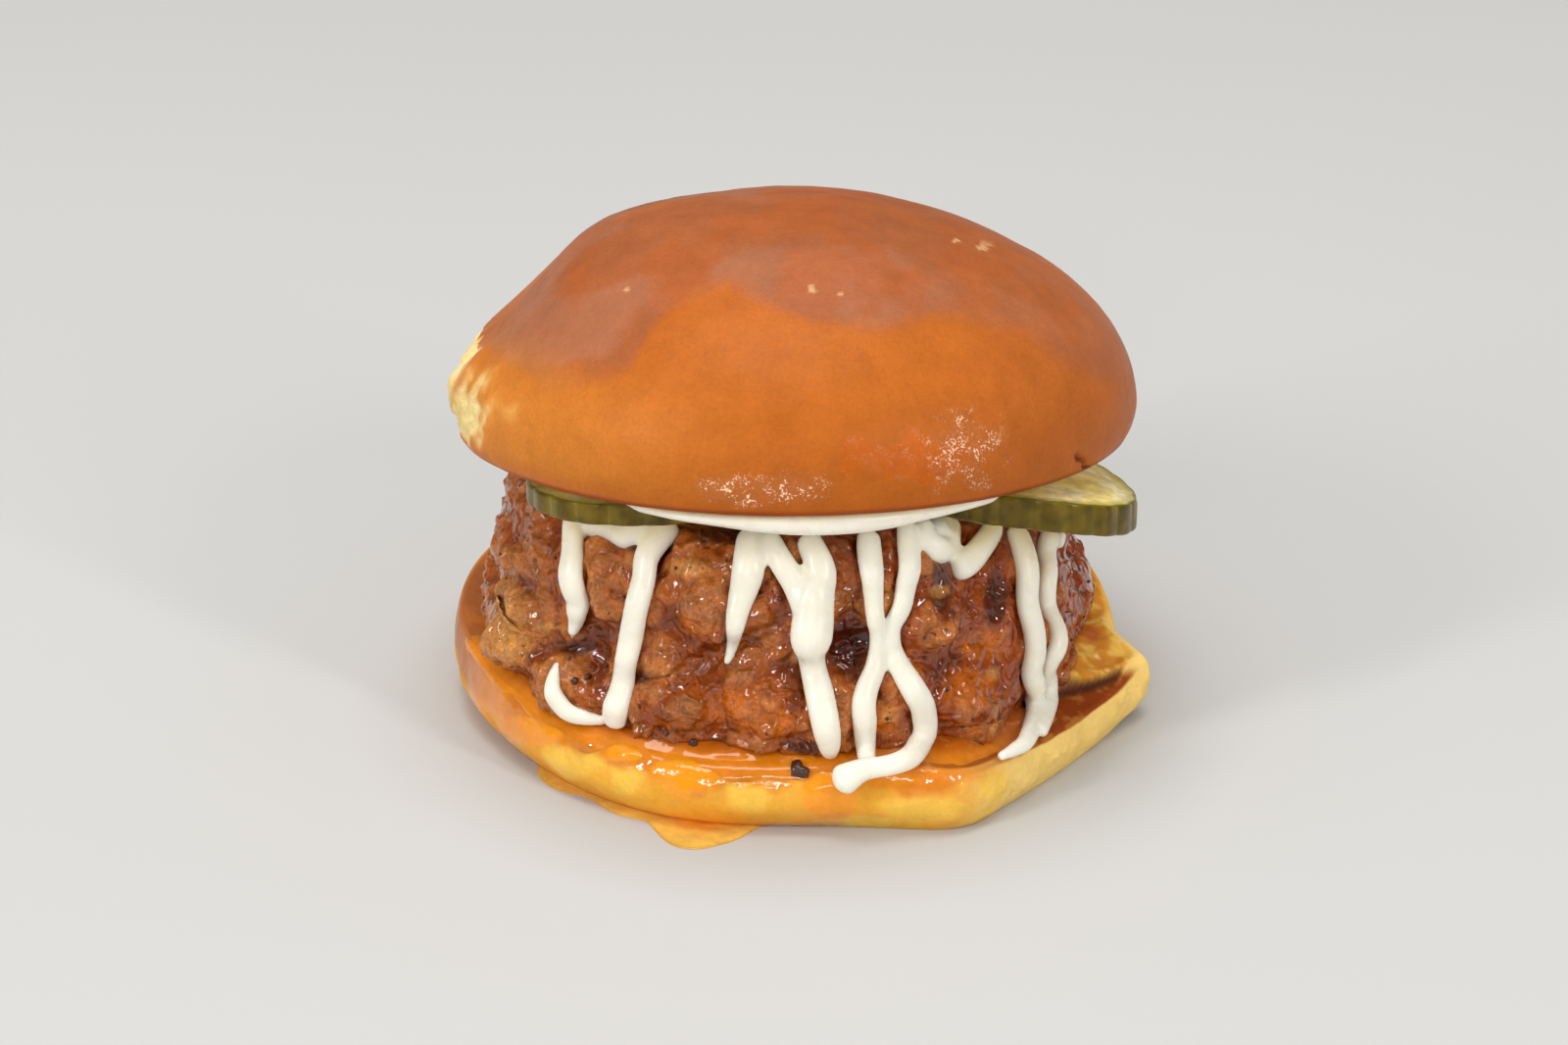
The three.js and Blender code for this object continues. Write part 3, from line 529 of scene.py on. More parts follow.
def sheet_object(name, top, under, tint):
    """A thin closed object between two grids of points, with the same colours on both."""
    rows, columns = top.shape[:2]
    index = np.arange(rows * columns).reshape(rows, columns)
    a, b, c, d = index[:-1, :-1], index[:-1, 1:], index[1:, 1:], index[1:, :-1]
    up = np.stack([a, d, c, b], -1).reshape(-1, 4)
    down = up[:, ::-1] + rows * columns
    loop = np.concatenate([index[0, :], index[1:, -1], index[-1, -2::-1], index[-2:0:-1, 0]])
    after = np.roll(loop, -1)
    wall = np.stack([loop, after, after + rows * columns, loop + rows * columns], -1)
    points = np.concatenate([top.reshape(-1, 3), under.reshape(-1, 3)])
    return mesh_object(name, points, [up, down, wall], {"tint": np.tile(tint.reshape(-1, 3), (2, 1))})


def merged(parts):
    """Several meshes, each as (points, lists of faces), as one."""
    points, faces, start = [], {4: [], 3: []}, 0
    for corners, groups in parts:
        points.append(corners)
        for group in groups:
            faces[group.shape[1]].append(group + start)
        start += len(corners)
    return np.concatenate(points), [np.concatenate(same) for same in faces.values() if same]


def slice_rows(shares, face, side, down):
    """Rings of a flat round piece, from below round its side to the top: radii, and shares of its depth."""
    radius = np.concatenate([shares[:, None] * face, side, shares[::-1, None] * face])
    depth = np.concatenate([np.ones(len(shares)), down, np.zeros(len(shares))])
    return radius, depth[:, None] + 0 * radius


def blur(field, rows, columns):
    """Gaussian blur of a grid, wrapping round in its columns; widths are in cells."""
    for axis, width in ((0, rows), (1, columns)):
        reach = int(math.ceil(3 * width))
        weights = np.exp(-0.5 * (np.arange(-reach, reach + 1) / width) ** 2)
        weights /= weights.sum()
        mode = "edge" if axis == 0 else "wrap"
        pad = [(reach, reach), (0, 0)] if axis == 0 else [(0, 0), (reach, reach)]
        wide = np.pad(field, pad, mode=mode)
        field = np.apply_along_axis(lambda line: np.convolve(line, weights, "valid"), axis, wide)
    return field


def paint(base, *layers):
    """Blends colours over a base colour: each layer is (mask, colour)."""
    colour = np.array(base, float)
    for mask, over in layers:
        colour = mix(colour, np.array(over, float), np.clip(mask, 0, 1)[..., None])
    return colour


# Materials
class Nodes:
    """A small helper for building node trees."""

    def __init__(self, tree):
        self.nodes, self.links = tree.nodes, tree.links

    def add(self, kind, inputs=None, **settings):
        node = self.nodes.new(kind)
        for key, value in settings.items():
            setattr(node, key, value)
        for key, value in (inputs or {}).items():
            self.set(node, key, value)
        return node

    def set(self, node, key, value):
        if isinstance(value, bpy.types.NodeSocket):
            self.links.new(value, node.inputs[key])
        else:
            node.inputs[key].default_value = value

    def remap(self, value, a, b, c=0.0, d=1.0):
        inputs = {"Value": value, "From Min": a, "From Max": b, "To Min": c, "To Max": d}
        return self.add("ShaderNodeMapRange", inputs, clamp=True).outputs["Result"]

    def math(self, operation, a, b):
        return self.add("ShaderNodeMath", {0: a, 1: b}, operation=operation).outputs[0]

    def times(self, a, b):
        return self.math("MULTIPLY", a, b)


class Shader(Nodes):
    """A material with a Principled surface; sizes of its textures are in millimetres."""

    def __init__(self, name):
        self.material = bpy.data.materials.new(name)
        self.material.use_nodes = True
        super().__init__(self.material.node_tree)

    def surface(self, **inputs):
        for key, value in inputs.items():
            self.set(self.nodes["Principled BSDF"], key.replace("_", " "), value)
        return self.material

    def attribute(self, name, output="Fac"):
        return self.add("ShaderNodeAttribute", attribute_name=name).outputs[output]

    def texture(self, kind, size, inputs):
        place = self.add("ShaderNodeTexCoord").outputs["Object"]
        return self.add(kind, {"Vector": place, "Scale": 1 / (size * MM), **inputs})

    def noise(self, size, detail, roughness=0.55, distortion=0.0):
        inputs = {"Detail": detail, "Roughness": roughness, "Distortion": distortion}
        return self.texture("ShaderNodeTexNoise", size, inputs).outputs["Fac"]

    def vary(self, low, high, size, detail, roughness=0.55):
        """Noise spread between a low and a high value."""
        return self.remap(self.noise(size, detail, roughness), 0.3, 0.7, low, high)

    def blend(self, share, a, b, mode="MIX"):
        node = self.add("ShaderNodeMix", data_type="RGBA", blend_type=mode)
        for key, value in ((0, share), (6, a), (7, b)):
            if isinstance(value, tuple):
                value = (*value, 1.0)
            self.set(node, key, value)
        return node.outputs[2]

    def tinted(self, shade):
        """The painted tint, made lighter and darker by a shade."""
        grey = self.add("ShaderNodeCombineColor", {0: shade, 1: shade, 2: shade}).outputs[0]
        return self.blend(1.0, self.attribute("tint", "Color"), grey, "MULTIPLY")

    def blend_normals(self, share, a, b):
        return self.add("ShaderNodeMix", {0: share, 4: a, 5: b}, data_type="VECTOR").outputs[1]

    def bump(self, height, distance, strength=1.0, normal=None):
        inputs = {"Height": height, "Distance": distance * MM, "Strength": strength}
        if normal is not None:
            inputs["Normal"] = normal
        return self.add("ShaderNodeBump", inputs).outputs["Normal"]


def crown_material():
    s = Shader("crown_crust")
    torn, wet = s.attribute("torn"), s.attribute("wet")
    colour = s.tinted(s.times(s.vary(0.90, 1.09, 6, 4, 0.6), s.vary(0.92, 1.08, 0.6, 3, 0.7)))
    pores = s.remap(s.noise(0.9, 2, 0.5), 0.62, 0.72)
    colour = s.blend(s.times(pores, 0.15), colour, (0.25, 0.05, 0.01))
    clusters = s.remap(s.noise(2.2, 2, 0.6), 0.35, 0.65, 0.75, 1.1)
    # Painted glints: pale specks, thickest in clusters, where the attribute marks them
    sparkle = s.remap(s.times(s.noise(0.36, 2, 0.6), clusters), 0.54, 0.60)
    colour = s.blend(s.times(sparkle, s.attribute("glint")), colour, (0.92, 0.62, 0.40))
    skin = s.bump(s.noise(0.55, 3, 0.65), 0.08, 0.8)
    skin = s.bump(s.noise(2.4, 3, 0.5), 0.18, 0.5, skin)
    beads = s.bump(s.noise(0.62, 2, 0.6), 0.34, 1.0, skin)
    crumb = s.bump(s.noise(1.1, 5, 0.7), 0.5, 0.9)
    matt = s.math("ADD", s.vary(0.36, 0.46, 2.2, 3, 0.6), s.times(torn, 0.4))
    return s.surface(
        Base_Color=colour, Roughness=s.math("SUBTRACT", matt, s.times(wet, 0.12)), Specular_IOR_Level=0.08,
        Normal=s.blend_normals(torn, s.blend_normals(wet, skin, beads), crumb),
        Subsurface_Weight=0.10, Subsurface_Radius=(0.004, 0.0015, 0.0006), Subsurface_Scale=0.4,
        Coat_Weight=wet, Coat_Roughness=0.09, Coat_Normal=beads,
    )


def mayonnaise_material():
    s = Shader("mayonnaise")
    return s.surface(
        Base_Color=s.blend(s.vary(0, 1, 6, 2, 0.5), (0.885, 0.825, 0.685), (0.92, 0.875, 0.755)),
        Roughness=s.vary(0.24, 0.34, 3, 2), Specular_IOR_Level=0.4,
        Normal=s.bump(s.noise(2.8, 2, 0.5), 0.10, 0.4),
        Subsurface_Weight=0.4, Subsurface_Radius=(0.0035, 0.0026, 0.0015), Subsurface_Scale=0.6,
    )


def pickle_material():
    s = Shader("pickle")
    blotch = s.remap(s.noise(2.6, 4, 0.6), 0.35, 0.65, 0.75, 1.2)
    cells = s.texture("ShaderNodeTexVoronoi", 1.9, {}).outputs["Distance"]
    warts = s.bump(s.remap(cells, 0.0, 0.28, 1.0, 0.0), 0.08, 0.3)
    normal = s.bump(s.noise(1.2, 3), 0.16, 0.7, warts)
    return s.surface(
        Base_Color=s.tinted(blotch), Roughness=0.3, Specular_IOR_Level=0.1, Normal=normal,
        Subsurface_Weight=0.3, Subsurface_Radius=(0.003, 0.003, 0.0008), Subsurface_Scale=0.5,
        Coat_Weight=0.35, Coat_Roughness=0.06, Coat_Normal=normal,
    )


def chicken_material():
    s = Shader("glazed_chicken")
    wet = s.attribute("wet")
    colour = s.tinted(s.times(s.vary(0.62, 1.34, 2.0, 5, 0.65), s.vary(0.78, 1.22, 0.5, 3, 0.7)))
    specks = s.remap(s.noise(0.95, 1, 0.4), 0.73, 0.78)
    crumbs = s.bump(s.noise(0.5, 4, 0.7), 0.20, 0.8)
    film = s.bump(s.noise(3.0, 1, 0.5, 0.8), 1.9, 1.0)
    return s.surface(
        Base_Color=s.blend(s.times(specks, 0.8), colour, (0.02, 0.006, 0.003)),
        Roughness=s.remap(wet, 0, 1, 0.60, 0.34), Specular_IOR_Level=0.08,
        Normal=s.blend_normals(wet, crumbs, film),
        Subsurface_Weight=0.12, Subsurface_Radius=(0.004, 0.001, 0.0002), Subsurface_Scale=0.4,
        Coat_Weight=s.remap(wet, 0, 1, 0.25, 1.0), Coat_Roughness=0.04, Coat_Normal=film,
    )


def heel_material():
    s = Shader("heel_crumb")
    wet = s.attribute("wet")
    crumb = s.bump(s.noise(0.8, 5, 0.7), 0.22, 0.7)
    crumb = s.bump(s.noise(3.4, 3, 0.6), 0.5, 0.6, crumb)
    film = s.bump(s.noise(2.2, 2, 0.5), 0.35, 0.7)
    return s.surface(
        Base_Color=s.tinted(s.times(s.vary(0.92, 1.07, 4.5, 5, 0.6), s.vary(0.95, 1.05, 0.6, 3, 0.7))),
        Roughness=s.remap(wet, 0, 1, 0.60, 0.30), Specular_IOR_Level=0.15,
        Normal=s.blend_normals(wet, crumb, film),
        Subsurface_Weight=0.3, Subsurface_Radius=(0.006, 0.003, 0.0008), Subsurface_Scale=0.5,
        Coat_Weight=s.remap(wet, 0.2, 1, 0, 1.0), Coat_Roughness=0.06, Coat_Normal=film,
    )


def sauce_material():
    s = Shader("sauce")
    return s.surface(
        Base_Color=s.tinted(s.vary(0.85, 1.12, 4, 3)), Roughness=0.3, Specular_IOR_Level=0.1,
        Normal=s.bump(s.noise(3.4, 2, 0.5), 0.75, 0.9),
        Subsurface_Weight=0.35, Subsurface_Radius=(0.005, 0.002, 0.0004), Subsurface_Scale=0.5,
        Coat_Weight=1.0, Coat_Roughness=0.04,
    )


def crumb_material():
    s = Shader("burnt_crumb")
    colour = s.blend(s.vary(0, 1, 0.5, 2), (0.0375, 0.008, 0.003), (0.075, 0.016, 0.006))
    return s.surface(Base_Color=colour, Roughness=0.4, Coat_Weight=0.4)


def floor_material():
    s = Shader("floor")
    colour = s.blend(s.vary(0, 1, 300, 2), (0.512, 0.503, 0.484), (0.522, 0.513, 0.494))
    return s.surface(Base_Color=colour, Roughness=0.6, Specular_IOR_Level=0.1)


def finish_piece(piece, material, node=None):
    """Gives a piece its material and slot, on the root body, in place of a node if one is named."""
    piece.data.materials.append(material)
    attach(piece, "root")
    if node:
        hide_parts(node)


# Crown
def crown_in_place(points):
    """Points about the crown's own cut, leant back and set where the crown sits."""
    lean = math.radians(CROWN["lean_back"])
    cos, sin = math.cos(lean), math.sin(lean)
    x, y, z = np.moveaxis(points, -1, 0)
    return point(x, y * cos + z * sin, z * cos - y * sin) + np.array([CROWN["x"], 0, CROWN["cut_z"]])


def make_crown():
    """The crown, from its cut round the belly to the top; rise follows the skin up as an angle."""
    angles = circle(480)
    shares = np.linspace(0.04, 0.97, 26)
    rises = np.concatenate([np.linspace(-90, -6, 26), np.linspace(0, 88.6, 150)])
    x, y = near(angles[None], shares[:, None] * (crown_radius(angles)[None] - CROWN["cut_inset"]))
    cut = point(x, y, 0.25 * rough(x, y, 0, 3, 61))
    grid = np.concatenate([cut, crown_point(angles[None], rises[:, None])])
    rise = np.concatenate([np.full(len(shares), -90.0), rises])[:, None] + 0 * angles[None]
    angle = turn(angles)[None] + 0 * rise
    x, y, z = np.moveaxis(grid, -1, 0)
    uneven = rough(x, y, z, 5, 71)
    ragged = 6 * uneven + 5 * rough(x, y, z, 1.8, 73, 2)
    upper = mix(19, 4, ramp(angle, -84, -58))
    torn = ramp(24 - np.abs(angle + 83) + ragged, 0, 2) * ramp(upper - rise + ragged, 0, 2)
    torn = torn * ramp(rise + 13 + ragged, 0, 2) * ramp(-angle, 74, 84)
    at = pixel(crown_in_place(grid))
    left_end = spots(at, CROWN_TORN, 2.0 * uneven, 0.5) * ramp(-y, -4, 0) * ramp(rise, -70, -60)
    torn = np.maximum(torn, left_end)
    pale = spots(at, CROWN_PALE, 2.0 * uneven, 1.0) * ramp(-y, -8, 2)
    off_crack = turn(angle - 53.5) + 0.12 * (rise + 30) + 3 * (noise(x, y, z, 2, 75) - 0.5)
    crack = np.exp(-((off_crack / 0.9) ** 2)) * band(rise, -75, -55, -16, -2)
    swell = 0.35 * rough(x, y, z, 9, 43) + 0.10 * (noise(x, y, z, 2.6, 47) - 0.5)
    crumb = -0.6 + 1.7 * rough(x, y, z, 2.0, 53, 4)
    folds = 1 - np.abs(2 * noise(x * 2.2, y * 2.2, z * 0.8, 5, 59) - 1)
    wrinkle = -0.30 * folds**6 * hump_turn(angle, -50, 22) * hump(rise, 2, 20)
    out = ramp(rise, -80, -30) * (swell * (1 - torn) + torn * crumb + wrinkle) - 0.9 * crack
    turned = crown_in_place(grid + direction(angle, np.maximum(rise, 0)) * out[..., None])
    height = np.clip(z / (CROWN["belly"] + CROWN["dome"]), 0, 1)
    at = pixel(turned)
    front = ramp(-y, -4, 6)
    patchy = fractal(x, y, z, 24, 81)
    streaks = fractal(x, y * 0.35, z, 9, 85)
    # Above this edge the crown's top gets painted sheen: duller and greyer, hazier in patches
    cap_edge = np.interp(at[0], *np.array(CAP_EDGE, float).T) + 30 * rough(x, y, z, 12, 97)
    cap = np.maximum(ramp(cap_edge - at[1], -14, 14) * front, ramp(height, 0.62, 0.80) * (1 - front))
    haze = cap * ramp(fractal(x, y, z, 15, 99), 0.42, 0.60)
    left_low = hump_turn(angle, -52, 50) * (1 - ramp(height, 0.28, 0.62))
    right = ramp(x, 10, 46)
    rim = 1 - ramp(rise, -42, 0)
    damp = spots(at, CROWN_DAMP, 1.6 * rough(x, y, z, 4, 83)) * front
    beads = spots(at, CROWN_BEADS, 1.8 * rough(x, y, z, 3, 89), 0.6) * front
    # Glitter along the front's lower edge: real gloss through wet, and painted glints
    glitter = spots(at, CROWN_GLITTER, 1.3 * rough(x, y, z, 4, 91), 0.6) * front * ramp(rise, -60, -30)
    flour = spots(at, FLOUR_SPECKS, 1.6 * (noise(x, y, z, 0.8, 93) - 0.5), 0.3) * front
    tint = paint(
        (0.435, 0.108, 0.012),
        (ramp(patchy, 0.5, 0.62) * 0.35, (0.47, 0.122, 0.012)),
        # painted sheen on the top, greyer in hazy patches
        (cap * 0.88, (0.325, 0.094, 0.032)),
        (haze * 0.60, (0.365, 0.138, 0.070)),
        (cap * ramp(streaks, 0.54, 0.66) * 0.4, (0.40, 0.085, 0.014)),
        # the lower left lighter and more yellow-orange: partly the crust's own colour, partly painted light
        # from the left
        (left_low * 0.85, (0.64, 0.215, 0.030)),
        # painted shade: the right side a little darker, away from the light on the left
        (right * 0.50, (0.41, 0.108, 0.024)),
        (rim * 0.45, (0.48, 0.112, 0.012)),
        (pale * 0.85, (0.80, 0.40, 0.09)),
        ((1 - ramp(rise, -62, -46)) * 0.85, (0.30, 0.045, 0.006)),
        (damp * 0.95, (0.50, 0.100, 0.0)),
        # painted shade darkens the crack
        (crack, (0.13, 0.018, 0.004)),
        (flour * 0.6, (0.72, 0.46, 0.22)),
        (torn * 0.95, (0.90, 0.70, 0.31)),
        (torn * ramp(fractal(x, y, z, 3.5, 87), 0.52, 0.66) * 0.5, (0.85, 0.55, 0.12)),
    )
    tint[rise <= -89.5] = (0.70, 0.48, 0.20)
    wet = np.clip(0.3 * damp + 0.5 * beads + 0.6 * glitter, 0, 1)
    # Where pale specks are painted as glints: mostly the beads and glitter, a little of the damp patch
    glint = np.clip(0.10 * damp + 0.75 * beads + glitter, 0, 1)
    piece = shell_object("crown", turned, {"tint": tint, "torn": torn, "wet": wet, "glint": glint})
    finish_piece(piece, crown_material(), "top_bun")


# Mayonnaise layer
def spread_radius(angle):
    a = turn(angle)
    left = 2.7 * band(-a, 12, 40, 105, 140)
    wave = 0.7 * cosd(7 * a + 20) * ramp(np.abs(a), 50, 90)
    return SPREAD["radius"] + 1.7 * hump_turn(a, 3, 40) - left - 3.4 * hump_turn(a, 75, 40) + wave


def spread_thick(angle):
    a = turn(angle)
    pressed = band(-a, -4, 18, 60, 90) + band(a, 12, 38, 60, 90)
    return SPREAD["thick"] - SPREAD["thinner"] * pressed


def make_spread(mayonnaise):
    angles = circle(420)
    around = np.linspace(-90, 90, 16)
    wide = spread_radius(angles)[None] + 0.5 * (noise(*near(angles, 50.0), 0, 5, 91) - 0.5)[None]
    half = SPREAD["thick"] / 2
    side = wide - half + half * cosd(around)[:, None]
    radius, part = slice_rows(np.linspace(0.03, 0.985, 56), wide - half, side, 0.5 - 0.5 * sind(around))
    x, y = near(angles[None], radius)
    thick = spread_thick(angles)[None] + 0.35 * (noise(x, y, 0, 7, 93) - 0.5)
    bottom = crown_plane(y) - GAP - part * thick
    for p in PICKLES:
        inside = 1 - ramp(np.hypot(x - p["x"], y - p["y"]), p["radius"] + 0.4, p["radius"] + 1.6)
        above = np.minimum(pickle_top(p, x, y) + 0.45, crown_plane(y) - GAP - 0.2)
        bottom = np.where(part > 0.02, mix(bottom, np.maximum(bottom, above), inside), bottom)
    piece = shell_object("mayonnaise_layer", point(x, y, bottom))
    finish_piece(piece, mayonnaise, "mayo_spread")


# Pickle slices
def make_pickle(p, material):
    angles = circle(462)
    rib = np.abs(sind(PICKLE["ribs"] * angles / 2))
    wide = p["radius"] * (1 + 0.02 * cosd(2 * angles + 30 * p["seed"])) - PICKLE["rib_depth"] * (1 - rib**0.8)
    around = np.linspace(0, 1, 22)
    bevel = 0.35 * np.abs(2 * around - 1) ** 9
    radius, part = slice_rows(np.linspace(0.03, 0.975, 44), wide, wide - bevel[:, None], 1 - around)
    x, y = near(angles[None], radius)
    wave = PICKLE["face_wave"] * (noise(x, y, part, 5, p["seed"]) - 0.5)
    x, y = x + p["x"], y + p["y"]
    z = pickle_top(p, x, y) - part * p["thick"] + wave
    grid = point(x, y, z)
    share = radius / wide
    on_face = (part > 0.999) | (part < 0.001)
    veins = ramp(fractal(x * 1.4, y * 0.5, z, 4, 105), 0.50, 0.62)
    seeds = hump(share, 0.50, 0.24) * ramp(noise(x, y, z, 2.4, 97 + p["seed"]), 0.58, 0.72)
    rows = ramp(cosd(3 * angles[None] + 40 * p["seed"]), -0.2, 0.9) * (share < 0.75)
    flesh = paint(
        (0.90, 0.70, 0.19) + 0 * grid,
        (ramp(fractal(x, y, z, 6, 101), 0.4, 0.62) * 0.8, (0.88, 0.72, 0.28)),
        (veins * 0.7, (0.94, 0.85, 0.50)),
        (seeds * rows, (0.86, 0.76, 0.38)),
        (ramp(share, 0.86, 0.95) * 0.8, (0.44, 0.36, 0.05)),
        (ramp(share, 0.955, 0.985), (0.10, 0.085, 0.004)),
    )
    groove = 1 - rib**0.5
    streak = ramp(noise(angles[None] * 0.3, part * 0.4, 0, 1.0, 109 + p["seed"]), 0.35, 0.75)
    pale = 0.30 if p["side"] > 0 else 0.75
    skin = paint(
        (0.110, 0.066, 0.001) + 0 * grid,
        (streak * 0.55, (0.19, 0.125, 0.002)),
        (groove[None] * pale + 0 * part, (0.25, 0.18, 0.012)),
        (ramp(fractal(x, y, z, 4, 103), 0.45, 0.7) * 0.6, (0.045, 0.034, 0.001)),
        (ramp(np.abs(2 * part - 1), 0.86, 1) * 0.35, (0.22, 0.17, 0.02)),
    )
    tint = np.where(on_face[..., None], flesh, skin)
    piece = shell_object(p["name"] + "_slice", grid, {"tint": tint})
    finish_piece(piece, material, p["name"])


# Heel
def make_heel():
    """The heel, from its underside up its side and over its face to the middle."""
    steps = ((0, 60, 0.5), (60, 100, 0.4), (100, 300, 0.8), (300, 360, 0.5))
    angles = np.concatenate([np.arange(*step) for step in steps])
    angle = turn(angles)[None]
    upper = 0.5 + 0.5 * np.sin(np.linspace(0, np.pi / 2, 34))
    ups = np.concatenate([np.linspace(0, 0.5, 20, endpoint=False), upper])
    under_shares = np.linspace(0.05, 0.985, 14)
    face_shares = np.linspace(0.99, 0.04, 110)
    wide = heel_radius(angles)[None]
    low_r = under_shares[:, None] * (wide - heel_undercut(angles)[None])
    under = point(*near(angle, low_r), heel_lift(angle, low_r))
    low = heel_undercut(angle) * (1 - sind(90 * np.minimum(1, ups[:, None] / 0.5)))
    r = wide - low - heel_inset(angle) * heel_rounding(ups)[:, None]
    x, y = near(angle, r)
    side = point(x, y, mix(heel_lift(angle, r), heel_top(x, y), ups[:, None]))
    x, y = near(angle, face_shares[:, None] * (wide - heel_inset(angle)))
    face = point(x, y, heel_top(x, y))
    grid = np.concatenate([under, side, face])
    rows = (len(under), len(side), len(face))
    kind = np.repeat([0, 1, 2], rows)[:, None] + 0 * angle
    up = np.concatenate([np.zeros(rows[0]), ups, np.ones(rows[2])])[:, None] + 0 * angle
    angle = angle + 0 * up
    x, y, z = np.moveaxis(grid, -1, 0)
    share = np.hypot(x, y) / wide
    lumpy, grainy = fractal(x, y, z, 7, 111), fractal(x, y, z, 2.2, 113, 4)
    on_side, on_face = kind == 1, kind == 2
    cut_side = on_side * band(angle, 20, 40, 84, 96)
    swell = np.sin(np.pi * np.clip(up, 0, 1)) ** 0.7
    out = on_side * swell * (0.9 * (lumpy - 0.5) + (0.2 + 1.2 * cut_side) * (grainy - 0.5))
    grid = grid + direction(angle, 0) * out[..., None]
    uneven = rough(x, y, z, 6, 127)
    run = spots(pixel(grid), HEEL_RUNS, 0.9 * uneven, 1.0) * on_side * ramp(-y, 2, 14)
    grid = grid + point(*near(angle, 0.9), 0.4) * (0.75 * run * ramp(up, 0.04, 0.2))[..., None]
    behind = behind_fold(x, y)
    back_right = on_face * ramp(behind, 0.2, 1.4) * band(angle, 60, 66, 125, 140) * ramp(share, 0.75, 0.85)
    torn_bits = 2.6 * fractal(x, y, 0, 4.5, 117) - 0.9
    raised = on_face * (0.5 * (lumpy - 0.5) + 0.35 * (grainy - 0.5)) + back_right * torn_bits
    grid[..., 2] += raised * np.where(on_face, 1 - ramp(share, 0.955, 0.985), 0)
    at = pixel(grid)
    front = ramp(-y, 2, 14)
    left = band(-angle, 20, 70, 150, 175)
    yellow = spots(at, HEEL_YELLOW, 1.2 * uneven, 0.5) * front * on_side
    orange = spots(at, HEEL_ORANGE, 1.2 * uneven, 0.5) * front
    orange = np.maximum(orange, ramp(run, 0.15, 0.55))
    foot = on_side * (1 - ramp(up, 0.03, 0.16)) * (1 - ramp(np.abs(angle + 30), 26, 44))
    glazed_face = on_face * (1 - back_right)
    toasted = (on_face + on_side * ramp(up, 0.90, 0.97)) * hump_turn(angle, 58, 36)
    toasted = np.clip(1.6 * toasted * (1 - ramp(behind, 0, 1.2)), 0, 1)
    toasted = toasted * np.where(on_face, ramp(share, 0.80, 0.88), 1)
    # painted shade: a dark line at the foot of the raised part behind the crease
    line = on_face * hump(behind, 0.3, 1.3) * ramp(angle, 58, 64) * ramp(share, 0.8, 0.86)
    upper_left = on_side * hump_turn(angle, -84, 44) * ramp(up + 0.25 * (lumpy - 0.5), 0.42, 0.72)
    shoulder = on_side * ramp(up + 0.5 * (lumpy - 0.5) + 0.25 * (grainy - 0.5), 0.66, 0.86) * front
    shoulder = shoulder * band(angle, -78, -56, 22, 40)
    specked = on_side * ramp(lumpy, 0.45, 0.6) * (1 - ramp(np.abs(angle + 10), 40, 70))
    tint = paint(
        (0.85, 0.385, 0.033) + 0 * grid,
        (ramp(fractal(x, y, z, 6, 123), 0.44, 0.66) * 0.5, (0.93, 0.50, 0.065)),
        (left * 0.80, (0.82, 0.34, 0.045)),
        (cut_side * 0.8, (0.98, 0.68, 0.22)),
        (yellow * 0.8, (0.95, 0.58, 0.085)),
        (shoulder * 0.9, (0.72, 0.200, 0.006)),
        (orange * 0.95, (0.93, 0.32, 0.004)),
        (foot * 0.85, (0.70, 0.20, 0.004)),
        (upper_left * 0.85, (0.34, 0.085, 0.028)),
        (glazed_face * 0.95, (0.38, 0.095, 0.012)),
        (glazed_face * ramp(lumpy, 0.45, 0.65) * 0.6, (0.54, 0.16, 0.012)),
        (back_right, (0.72, 0.27, 0.015)),
        (back_right * ramp(grainy, 0.50, 0.60) * 0.8, (0.92, 0.56, 0.09)),
        (back_right * ramp(lumpy, 0.58, 0.66) * 0.8, (0.55, 0.09, 0.006)),
        (toasted, (0.31, 0.052, 0.003)),
        (toasted * ramp(grainy, 0.52, 0.62) * 0.7, (0.52, 0.19, 0.025)),
        # painted shade along the crease
        (line, (0.08, 0.016, 0.004)),
        ((kind == 0), (0.55, 0.22, 0.06)),
    )
    wet = 0.9 * orange + 0.9 * shoulder + 0.8 * foot + 0.85 * glazed_face * (1 - toasted)
    wet = np.clip(wet + 0.7 * back_right + 0.5 * upper_left + 0.4 * specked, 0, 1)
    piece = shell_object("heel", grid, {"tint": tint, "wet": wet})
    finish_piece(piece, heel_material(), "bottom_bun")
    return piece


